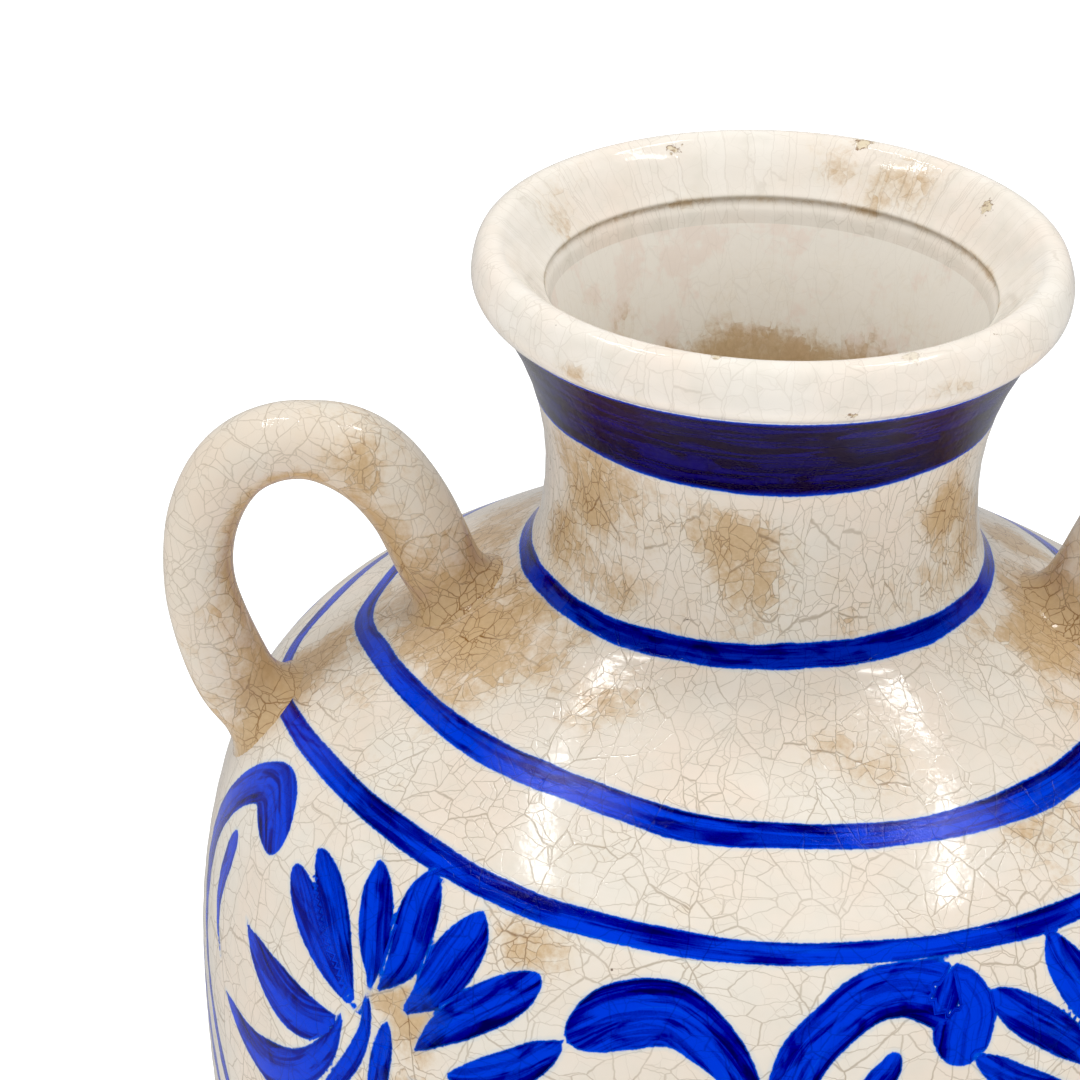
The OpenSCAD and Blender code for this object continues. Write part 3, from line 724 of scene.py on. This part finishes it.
def handle(side, label, seed):
    p, gap, d, c = tube_rings(side, seed)
    n = grid_normals(p)
    mid = p[len(p) // 2]
    if ((mid - mid.mean(0)) * n[len(p) // 2]).sum() < 0:
        n = -n
        p = p[:, ::-1]
        n = n[:, ::-1]
        gap = gap[:, ::-1]
    # split rows: where the flare has died away all round
    low = gap.min(1)
    rows = np.where(low > FILLET * 0.9)[0]
    i0, i1 = rows[0], rows[-1]
    az0 = 180.0 if side < 0 else 0.0
    away = np.clip(low, 0, 60)
    # stain mask of the handle: darker close to the body, and painted shade on the faces that turn downward
    st = 1.05 * np.exp(-np.clip(gap, 0, 60) / 17.0) + 0.35 * np.clip(-n[:, :, 2] - 0.1, 0, 1)
    # the faces turned in towards the middle of the loop are darkened as well
    hub = np.array([95.0, 240.0])
    er, eh = np.hypot(p[:, :, 0], p[:, :, 1]) - hub[0], p[:, :, 2] - hub[1]
    nr_ = (n[:, :, 0] * p[:, :, 0] + n[:, :, 1] * p[:, :, 1]) / np.maximum(np.hypot(p[:, :, 0], p[:, :, 1]), 1e-6)
    facing = -(nr_ * er + n[:, :, 2] * eh) / np.maximum(np.hypot(er, eh), 1e-6)
    st = st + 0.55 * np.clip(facing, 0, 1)
    # brown on the upper part that faces the neck
    top = p[:, :, 2]
    rr = np.hypot(p[:, :, 0], p[:, :, 1])
    st = np.maximum(st, .8 * np.exp(-(((rr - 84) / 9) ** 2 + ((top - 262) / 8) ** 2)))
    st = np.maximum(st, .45 * np.exp(-(((rr - 78) / 8) ** 2 + ((top - 246) / 10) ** 2)))
    inner0 = max(i0 - 10, 0)
    h = tube_mesh(label + "_glazed", [(p[i0:i1 + 1], n[i0:i1 + 1], st[i0:i1 + 1], False)], None)
    # skirts: rows from inside the body up to the split
    s = tube_mesh(label + "_root_slip_glazed", [(p[:i0 + 1], n[:i0 + 1], st[:i0 + 1], False), (p[i1:], n[i1:], st[i1:], False)], None)
    return h, s


hl, hls = handle(-1, "handle_left", 3)
hr, hrs = handle(1, "handle_right", 4)


# ---------------------------------------------------------------- materials
def srgb(r, g, b, a=1.0):
    def f(c):
        c = c / 255.0
        return c / 12.92 if c <= 0.04045 else ((c + 0.055) / 1.055) ** 2.4
    return (f(r), f(g), f(b), a)


class Nodes:
    """A thin writer of node trees."""

    def __init__(self, name):
        self.m = bpy.data.materials.new(name)
        self.m.use_nodes = True
        self.t = self.m.node_tree
        self.t.nodes.clear()
        self.n = 0

    def new(self, kind, **kw):
        nd = self.t.nodes.new(kind)
        nd.location = ((self.n % 14) * 190, -(self.n // 14) * 320)
        self.n += 1
        for k, v in kw.items():
            setattr(nd, k, v)
        return nd

    def put(self, sock, v):
        if hasattr(v, "is_linked") or isinstance(v, bpy.types.NodeSocket):
            self.t.links.new(v, sock)
        else:
            sock.default_value = v

    def math(self, op, a, b=None, c=None, clamp=False):
        nd = self.new("ShaderNodeMath", operation=op, use_clamp=clamp)
        self.put(nd.inputs[0], a)
        if b is not None:
            self.put(nd.inputs[1], b)
        if c is not None:
            self.put(nd.inputs[2], c)
        return nd.outputs[0]

    def vec(self, op, a, b=None, scale=None):
        nd = self.new("ShaderNodeVectorMath", operation=op)
        self.put(nd.inputs[0], a)
        if b is not None:
            self.put(nd.inputs[1], b)
        if scale is not None:
            self.put(nd.inputs["Scale"], scale)
        return nd.outputs["Value"] if op in ("DOT_PRODUCT", "LENGTH", "DISTANCE") else nd.outputs["Vector"]

    def ramp(self, x, lo, hi, a=0.0, b=1.0, smooth=True):
        nd = self.new("ShaderNodeMapRange", interpolation_type="SMOOTHSTEP" if smooth else "LINEAR")
        self.put(nd.inputs["Value"], x)
        self.put(nd.inputs["From Min"], lo)
        self.put(nd.inputs["From Max"], hi)
        self.put(nd.inputs["To Min"], a)
        self.put(nd.inputs["To Max"], b)
        return nd.outputs["Result"]

    def mix(self, f, a, b, mode="MIX"):
        nd = self.new("ShaderNodeMix", data_type="RGBA", blend_type=mode)
        self.put(nd.inputs["Factor"], f)
        self.put([i for i in nd.inputs if i.name == "A" and i.type == "RGBA"][0], a)
        self.put([i for i in nd.inputs if i.name == "B" and i.type == "RGBA"][0], b)
        return [o for o in nd.outputs if o.type == "RGBA"][0]

    def noise(self, v, scale, detail=3.0, rough=0.55, dist=0.0, out="Fac"):
        nd = self.new("ShaderNodeTexNoise", noise_dimensions="3D")
        self.put(nd.inputs["Vector"], v)
        nd.inputs["Scale"].default_value = scale
        nd.inputs["Detail"].default_value = detail
        nd.inputs["Roughness"].default_value = rough
        nd.inputs["Distortion"].default_value = dist
        return nd.outputs[out]

    def voro(self, v, scale, feature, rnd=1.0):
        nd = self.new("ShaderNodeTexVoronoi", voronoi_dimensions="3D", feature=feature)
        self.put(nd.inputs["Vector"], v)
        nd.inputs["Scale"].default_value = scale
        nd.inputs["Randomness"].default_value = rnd
        return nd

    def attr(self, name):
        nd = self.new("ShaderNodeAttribute", attribute_type="GEOMETRY", attribute_name=name)
        return nd.outputs["Fac"]

    def combine(self, x, y, z):
        nd = self.new("ShaderNodeCombineXYZ")
        for s, v in zip(nd.inputs, (x, y, z)):
            self.put(s, v)
        return nd.outputs[0]


def cracks(N, P, nrm, scale, rnd=1.0):
    """Distance in mm, measured in the surface, to the walls of irregular cells; and the cell's own point and colour."""
    a = N.voro(P, scale, "F1", rnd)
    b = N.voro(P, scale, "F2", rnd)
    p1, p2 = a.outputs["Position"], b.outputs["Position"]
    d1 = N.vec("DISTANCE", P, p1)
    d2 = N.vec("DISTANCE", P, p2)
    sep = N.vec("SUBTRACT", p2, p1)
    ln = N.vec("LENGTH", sep)
    bis = N.math("DIVIDE", N.math("SUBTRACT", N.math("MULTIPLY", d2, d2), N.math("MULTIPLY", d1, d1)), N.math("MAXIMUM", N.math("MULTIPLY", ln, 2.0), 0.001))
    nn = N.math("DIVIDE", N.vec("DOT_PRODUCT", sep, nrm), N.math("MAXIMUM", ln, 0.001))
    inpl = N.math("SQRT", N.math("MAXIMUM", N.math("SUBTRACT", 1.0, N.math("MULTIPLY", nn, nn)), 0.03))
    return N.math("DIVIDE", bis, inpl), p1, a.outputs["Color"]


def glazed(name, painted=True, inner=False, stain_bias=0.0, crackle=1.0, tint=(238, 231, 219), chips=False, tube=False):
    N = Nodes(name)
    tc = N.new("ShaderNodeTexCoord")
    P = N.vec("SCALE", tc.outputs["Object"], scale=1000.0)
    geo = N.new("ShaderNodeNewGeometry")
    nrm = geo.outputs["Normal"]
    # gentle bending of the cell walls
    w = N.noise(P, 0.09, 2.0, 0.5, out="Color")
    warp = N.vec("SCALE", N.vec("SUBTRACT", w, (0.5, 0.5, 0.5)), scale=3.4)
    w2 = N.noise(P, 0.7, 1.0, 0.5, out="Color")
    warp2 = N.vec("SCALE", N.vec("SUBTRACT", w2, (0.5, 0.5, 0.5)), scale=0.55)
    Pw = N.vec("ADD", N.vec("ADD", P, warp), warp2)
    # round the jar and down its outline, so that the long cracks run with the outline and the short ones round it
    sp = N.new("ShaderNodeSeparateXYZ")
    N.put(sp.inputs[0], Pw)
    flat = N.combine(sp.outputs[0], sp.outputs[1], 0.0)
    rad_ = N.math("MAXIMUM", N.vec("LENGTH", flat), 1.0)
    unit = N.vec("SCALE", flat, scale=N.math("DIVIDE", 92.0, rad_))
    down = N.math("SUBTRACT", sp.outputs[2], rad_)
    mer = N.combine(0.0, 0.0, down)
    Q1 = N.vec("ADD", unit, N.vec("SCALE", mer, scale=0.42))
    if tube:
        e1, c1, k1 = cracks(N, Pw, nrm, 1 / 9.0)
    else:
        e1, c1, k1 = cracks(N, Q1, N.vec("SCALE", unit, scale=1 / 92.0), 1 / 10.0)
    # second generation: every large cell has its own set, so small cracks stop at large ones
    off = N.vec("SCALE", k1, scale=90.0)
    if tube:
        e2, c2, k2 = cracks(N, N.vec("ADD", Pw, off), nrm, 1 / 5.5)
    else:
        P2 = N.vec("ADD", N.vec("ADD", N.vec("SCALE", unit, scale=0.66), mer), off)
        e2, c2, k2 = cracks(N, P2, N.vec("SCALE", unit, scale=1 / 92.0), 1 / 6.0)
    off3 = N.vec("SCALE", k2, scale=70.0)
    P3 = N.vec("ADD", Pw, off3)
    e3, c3, k3 = cracks(N, P3, nrm, 1 / 4.6)
    fine_c = N.vec("SUBTRACT", c3, off3)
    stain_and_shade_attr = N.attr("st")
    ins = N.attr("ins")

    # stains and painted shade: clouds, partly constant within a cell so their edges follow the cracks; the st attribute
    # carries the stains and also painted shade on the handles' undersides and in the groove inside the mouth
    cloud = N.noise(P, 0.06, 4.0, 0.62)
    cellcloud = N.noise(fine_c, 0.085, 3.0, 0.6)
    speck = N.noise(P, 0.75, 3.0, 0.7)
    mixc = N.math("ADD", N.math("MULTIPLY", cloud, 0.42), N.math("MULTIPLY", cellcloud, 0.43))
    mixc = N.math("ADD", mixc, N.math("MULTIPLY", speck, 0.15))
    lift = N.math("ADD", N.math("MULTIPLY", stain_and_shade_attr, 0.31), stain_bias)
    stain_and_shade = N.ramp(N.math("ADD", mixc, lift), 0.61, 0.78)
    soft_stain_and_shade = N.ramp(N.math("ADD", N.math("ADD", N.math("MULTIPLY", cloud, 0.7), N.math("MULTIPLY", speck, 0.3)), lift), 0.52, 0.95)

    # glaze ground
    mot = N.noise(P, 0.028, 3.0, 0.5)
    mot2 = N.noise(P, 0.17, 2.0, 0.5)
    base = N.mix(N.ramp(mot, 0.35, 0.65), srgb(*tint), srgb(tint[0] + 1, tint[1] - 6, tint[2] - 10))
    base = N.mix(N.math("MULTIPLY", N.ramp(mot2, 0.4, 0.75), 0.35), base, srgb(226, 221, 208))
    cell_tone = N.new("ShaderNodeSeparateColor")
    N.put(cell_tone.inputs[0], k2)
    base = N.mix(N.math("MULTIPLY", cell_tone.outputs[0], 0.10), base, srgb(214, 200, 178))
    if inner:
        # painted light: the inside is lightened toward near white to stand in for the light that reaches it
        base = N.mix(N.math("MULTIPLY", ins, 0.9), base, srgb(253, 248, 238))
        pink = N.math("MULTIPLY", N.ramp(N.noise(P, 0.085, 4.0, 0.65), 0.50, 0.62), ins)
        base = N.mix(N.math("MULTIPLY", pink, 0.34), base, srgb(244, 218, 204))
    tan = N.mix(speck, srgb(216, 182, 124), srgb(176, 130, 72))
    # tan and brown where the mask is high: real stains, and painted shade where the st attribute carries it
    col = N.mix(N.math("MULTIPLY", soft_stain_and_shade, 0.40), base, srgb(220, 196, 152))
    col = N.mix(N.math("MULTIPLY", stain_and_shade, 0.66), col, tan)

    # crack lines
    vis = N.ramp(N.noise(P, 0.045, 2.0, 0.5), 0.3, 0.62, 0.55, 1.0)
    l1 = N.ramp(e1, 0.02, 0.21, 1.0, 0.0)
    l2 = N.ramp(e2, 0.02, 0.19, 1.0, 0.0)
    l3 = N.ramp(e3, 0.01, 0.15, 1.0, 0.0)
    l3 = N.math("MULTIPLY", l3, N.ramp(N.math("ADD", soft_stain_and_shade, N.noise(P, 0.07, 1.0, 0.5)), 0.36, 0.85, 0.25, 0.85))
    line = N.math("MAXIMUM", N.math("MULTIPLY", l1, 1.0), N.math("MAXIMUM", N.math("MULTIPLY", l2, 0.85), l3))
    line = N.math("MULTIPLY", line, vis)
    line = N.math("MULTIPLY", line, crackle)
    if inner:
        line = N.math("MULTIPLY", line, N.math("SUBTRACT", 1.0, N.math("MULTIPLY", ins, 0.85)))
    lcol = N.mix(soft_stain_and_shade, srgb(166, 150, 128), srgb(134, 92, 48))
    col = N.mix(N.math("MULTIPLY", line, N.ramp(soft_stain_and_shade, 0.0, 1.0, 0.68, 0.95)), col, lcol)
    rough = N.ramp(N.noise(P, 0.3, 2.0, 0.6), 0.3, 0.7, 0.075, 0.12)
    height = N.math("MULTIPLY", line, -0.02)

    if painted:
        d, al, ac, hw, idn, dk = (N.attr(a) for a in ("pd", "pa", "px", "pw", "pi", "pk"))
        edge = N.math("ADD", d, N.math("MULTIPLY", N.math("SUBTRACT", N.noise(P, 0.9, 3.0, 0.6), 0.5), 0.55))
        idz = N.math("MULTIPLY", idn, 37.0)
        # streaks left by the bristles, long in the direction of the stroke
        sv = N.combine(N.math("MULTIPLY", al, 0.035), N.math("MULTIPLY", ac, 0.62), idz)
        streak = N.noise(sv, 1.0, 4.0, 0.62, 0.35)
        sv2 = N.combine(N.math("MULTIPLY", al, 0.10), N.math("MULTIPLY", ac, 0.30), N.math("ADD", idz, 11.0))
        pool = N.noise(sv2, 1.0, 2.0, 0.5, 0.6)
        grain = N.noise(P, 2.6, 2.0, 0.7)
        rel = N.math("DIVIDE", N.math("ABSOLUTE", ac), N.math("MAXIMUM", hw, 0.4))
        rim_dark = N.ramp(rel, 0.55, 0.95)
        onesided = N.math("DIVIDE", ac, N.math("MAXIMUM", hw, 0.4))
        lean = N.ramp(onesided, -0.2, 1.0, 0.0, 0.45)
        dkn = N.math("ADD", N.math("MULTIPLY", N.ramp(streak, 0.42, 0.60), 0.55), N.math("MULTIPLY", N.ramp(pool, 0.46, 0.66), 0.50))
        dkn = N.math("ADD", dkn, N.math("MULTIPLY", rim_dark, 0.26))
        dkn = N.math("ADD", dkn, lean)
        dkn = N.math("ADD", dkn, N.math("MULTIPLY", N.math("SUBTRACT", grain, 0.5), 0.35))
        blue = N.mix(N.ramp(dkn, 0.12, 0.95), srgb(0, 62, 222), srgb(1, 18, 146))
        blue = N.mix(N.ramp(dkn, 0.85, 1.35), blue, srgb(6, 3, 84))
        light = N.ramp(streak, 0.22, 0.40, 1.0, 0.0)
        blue = N.mix(N.math("MULTIPLY", light, 0.40), blue, srgb(2, 96, 230))
        # the very dark collar of paint under the rim
        ndark = N.mix(N.ramp(streak, 0.38, 0.62), srgb(14, 10, 100), srgb(5, 2, 44))
        ndark = N.mix(N.ramp(pool, 0.48, 0.62), ndark, srgb(12, 3, 42))
        lip = N.ramp(d, -1.3, -0.1)
        ndark = N.mix(N.math("MULTIPLY", lip, 0.75), ndark, srgb(8, 50, 190))
        blue = N.mix(dk, blue, ndark)
        # thin wash where the colour bleeds into the glaze
        wash = N.ramp(edge, -0.55, 0.08)
        blue = N.mix(N.math("MULTIPLY", wash, 0.75), blue, srgb(8, 104, 232))
        cover = N.math("SUBTRACT", 1.0, N.ramp(edge, -0.14, 0.16))
        halo = N.math("MULTIPLY", N.math("SUBTRACT", 1.0, N.ramp(edge, 0.0, 1.1)), 0.30)
        col = N.mix(halo, col, srgb(168, 200, 226))
        paintcol = N.mix(N.math("MULTIPLY", line, 0.35), blue, srgb(10, 10, 60))
        paintcol = N.mix(N.math("MULTIPLY", stain_and_shade, 0.22), paintcol, srgb(60, 80, 110))
        col = N.mix(cover, col, paintcol)
        height = N.math("ADD", height, N.math("MULTIPLY", cover, N.math("MULTIPLY", grain, 0.050)))
        rough = N.math("ADD", rough, N.math("MULTIPLY", cover, N.ramp(grain, 0.35, 0.7, 0.0, 0.05)))

    # pinholes
    pv = N.voro(P, 1 / 15.0, "F1")
    pd = N.vec("DISTANCE", P, pv.outputs["Position"])
    sep = N.new("ShaderNodeSeparateColor")
    N.put(sep.inputs[0], pv.outputs["Color"])
    pit = N.math("MULTIPLY", N.math("SUBTRACT", 1.0, N.ramp(pd, 0.16, 0.34)), N.ramp(sep.outputs[0], 0.55, 0.60))
    col = N.mix(N.math("MULTIPLY", pit, 0.8), col, srgb(84, 52, 30))
    height = N.math("ADD", height, N.math("MULTIPLY", pit, -0.12))
    if chips:
        # small chips with brown edges where clay shows
        cw = N.vec("ADD", P, N.vec("SCALE", N.vec("SUBTRACT", N.noise(P, 0.7, 2.0, 0.6, out="Color"), (0.5, 0.5, 0.5)), scale=4.2))
        cv = N.voro(cw, 1 / 13.0, "F1")
        cd = N.vec("DISTANCE", cw, cv.outputs["Position"])
        cs = N.new("ShaderNodeSeparateColor")
        N.put(cs.inputs[0], cv.outputs["Color"])
        size = N.ramp(cs.outputs[1], 0.0, 1.0, 0.5, 2.3)
        on = N.ramp(cs.outputs[0], 0.62, 0.64)
        body = N.math("MULTIPLY", N.math("SUBTRACT", 1.0, N.ramp(N.math("SUBTRACT", cd, size), -0.35, 0.05)), on)
        ring = N.math("MULTIPLY", N.math("MULTIPLY", N.ramp(N.math("SUBTRACT", cd, size), -0.75, -0.25), N.math("SUBTRACT", 1.0, N.ramp(N.math("SUBTRACT", cd, size), -0.15, 0.25))), on)
        col = N.mix(N.math("MULTIPLY", body, 0.55), col, srgb(216, 196, 150))
        col = N.mix(N.math("MULTIPLY", N.math("MULTIPLY", ring, N.ramp(speck, 0.4, 0.6)), 0.75), col, srgb(126, 84, 44))
        height = N.math("ADD", height, N.math("MULTIPLY", body, -0.10))
        rough = N.math("ADD", rough, N.math("MULTIPLY", body, 0.12))
    # slow unevenness of the glaze surface
    orange = N.noise(P, 0.34, 2.0, 0.5)
    height = N.math("ADD", height, N.math("MULTIPLY", orange, 0.05))
    bump = N.new("ShaderNodeBump")
    bump.inputs["Strength"].default_value = 1.0
    bump.inputs["Distance"].default_value = 0.001
    N.put(bump.inputs["Height"], height)
    bs = N.new("ShaderNodeBsdfPrincipled")
    N.put(bs.inputs["Base Color"], col)
    N.put(bs.inputs["Roughness"], rough)
    N.put(bs.inputs["Normal"], bump.outputs[0])
    bs.inputs["IOR"].default_value = 1.46
    out = N.new("ShaderNodeOutputMaterial")
    N.t.links.new(bs.outputs[0], out.inputs["Surface"])
    return N.m


m_body = glazed("glaze_body")
m_neck = glazed("glaze_neck", inner=True, stain_bias=0.0)
m_rim = glazed("glaze_rim", painted=False, chips=True, crackle=0.35, stain_bias=-0.05, tint=(246, 240, 230))
# painted shade: the handles' glaze is tinted darker than the body's
m_handle = glazed("glaze_handle", painted=False, stain_bias=0.03, crackle=0.8, tint=(232, 224, 210), tube=True)
m_root = glazed("glaze_root", painted=False, stain_bias=0.03, crackle=0.9, tube=True)
m_foot = glazed("glaze_foot", painted=False, chips=True, stain_bias=0.10, tint=(222, 204, 176))

PIECES = [
    (lower, ("lower_body",), "body_glaze", m_body), (under, (), "body_glaze", m_foot),
    (shoulder, ("shoulder",), "body_glaze", m_body), (coil, ("neck_joint_coil",), "body_glaze", m_body),
    (neck, ("neck",), "neck_glaze", m_neck), (rim, ("mouth_rim",), "rim_glaze", m_rim),
    (foot, ("foot_ring",), "foot_glaze", m_foot),
    (hl, ("handle_left",), "handle_glaze", m_handle), (hr, ("handle_right",), "handle_glaze", m_handle),
    (hls, ("handle_left_root_slip",), "root_glaze", m_root), (hrs, ("handle_right_root_slip",), "root_glaze", m_root),
]
for ob, nodes_, slot, mat in PIECES:
    ob.data.materials.clear()
    ob.data.materials.append(mat)
    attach(ob, "root")
    if nodes_:
        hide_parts(*nodes_)


# ---------------------------------------------------------------- floor, lights, camera
def simple_material(name, color, emit):
    N = Nodes(name)
    tc = N.new("ShaderNodeTexCoord")
    n = N.noise(tc.outputs["Object"], 3.0, 2.0, 0.5)
    c = N.mix(N.math("MULTIPLY", n, 0.02), color, (0.9, 0.9, 0.9, 1))
    bs = N.new("ShaderNodeBsdfPrincipled")
    N.put(bs.inputs["Base Color"], c)
    bs.inputs["Roughness"].default_value = 0.9
    bs.inputs["Specular IOR Level"].default_value = 0.1
    bs.inputs["Emission Color"].default_value = (1, 1, 1, 1)
    bs.inputs["Emission Strength"].default_value = emit
    out = N.new("ShaderNodeOutputMaterial")
    N.t.links.new(bs.outputs[0], out.inputs["Surface"])
    return N.m


bpy.ops.mesh.primitive_plane_add(size=14, location=(0, 0, -0.0002))
floor = bpy.context.object
floor.name = "studio_floor"
floor.data.materials.append(simple_material("floor_white", (0.9, 0.9, 0.9, 1), 0.55))

CAM_AZ = 263.5


def area(name, az, el, dist, sx, sy, power, target=(0, 0, 0.23)):
    li = bpy.data.lights.new(name, "AREA")
    li.shape = "RECTANGLE"
    li.size, li.size_y = sx, sy
    li.energy = power
    ob = bpy.data.objects.new(name, li)
    a, e = math.radians(az), math.radians(el)
    pos = np.array([math.cos(a) * math.cos(e), math.sin(a) * math.cos(e), math.sin(e)]) * dist + np.array(target)
    z = (pos - np.array(target)) / dist
    x = np.cross([0, 0, 1.0], z)
    x /= np.linalg.norm(x)
    y = np.cross(z, x)
    m = Matrix.Identity(4)
    for i in range(3):
        m[i][0], m[i][1], m[i][2], m[i][3] = x[i], y[i], z[i], pos[i]
    ob.matrix_world = m
    bpy.context.scene.collection.objects.link(ob)
    return ob


area("softbox_left", 152, 66, 1.5, 0.05, 0.40, 1.5)
area("softbox_left_low", 177, 60, 1.5, 0.42, 0.07, 1.4)
area("softbox_right", 14, 66, 1.5, 0.05, 0.40, 1.5)
area("softbox_right_low", 350, 60, 1.5, 0.38, 0.07, 1.4)
# large soft fill from above that lights the glaze without showing in it
fill = area("overhead", CAM_AZ, 80, 2.2, 1.5, 1.3, 23.6)
fill.visible_glossy = False
floor.visible_glossy = False

world = bpy.data.worlds.new("studio")
bpy.context.scene.world = world
world.use_nodes = True
bg = world.node_tree.nodes.get("Background")
bg.inputs["Color"].default_value = (1.0, 1.0, 1.0, 1)
bg.inputs["Strength"].default_value = 0.47

sc = bpy.context.scene
sc.view_settings.view_transform = "Standard"
sc.view_settings.look = "None"
sc.view_settings.exposure = 0.0
sc.view_settings.gamma = 1.0
sc.view_settings.use_curve_mapping = True
sc.view_settings.curve_mapping.black_level = (0.024, 0.024, 0.024)
sc.view_settings.curve_mapping.update()

cam_d = bpy.data.cameras.new("camera")
cam_d.lens = 3500 / 1080 * 36
cam_d.sensor_width = 36
cam_d.sensor_fit = "HORIZONTAL"
cam_d.clip_start, cam_d.clip_end = 0.01, 50
cam_d.dof.use_dof = False
cam_o = bpy.data.objects.new("camera", cam_d)
sc.collection.objects.link(cam_o)
TH, PSI, RHO = math.radians(27.269), math.radians(-4.017), math.radians(0.991)
fwv = np.array([math.sin(PSI) * math.cos(TH), math.cos(PSI) * math.cos(TH), -math.sin(TH)])
rgt = np.array([math.cos(PSI), -math.sin(PSI), 0.0])
upv = np.cross(rgt, fwv)
r2 = math.cos(RHO) * rgt + math.sin(RHO) * upv
u2 = -math.sin(RHO) * rgt + math.cos(RHO) * upv
turn = math.radians(-6.5)
Rz = np.array([[math.cos(turn), -math.sin(turn), 0], [math.sin(turn), math.cos(turn), 0], [0, 0, 1]])
pos = Rz @ np.array([0, -10.789 * 61, 302.5 + 4.504 * 61]) * MM
cols = [Rz @ r2, Rz @ u2, -(Rz @ fwv)]
mw = Matrix.Identity(4)
for i in range(3):
    for j in range(3):
        mw[i][j] = float(cols[j][i])
    mw[i][3] = float(pos[i])
cam_o.matrix_world = mw
sc.camera = cam_o

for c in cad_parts.values():
    if not c.data.materials:
        c.data.materials.append(m_body)
    else:
        c.data.materials[0] = m_body
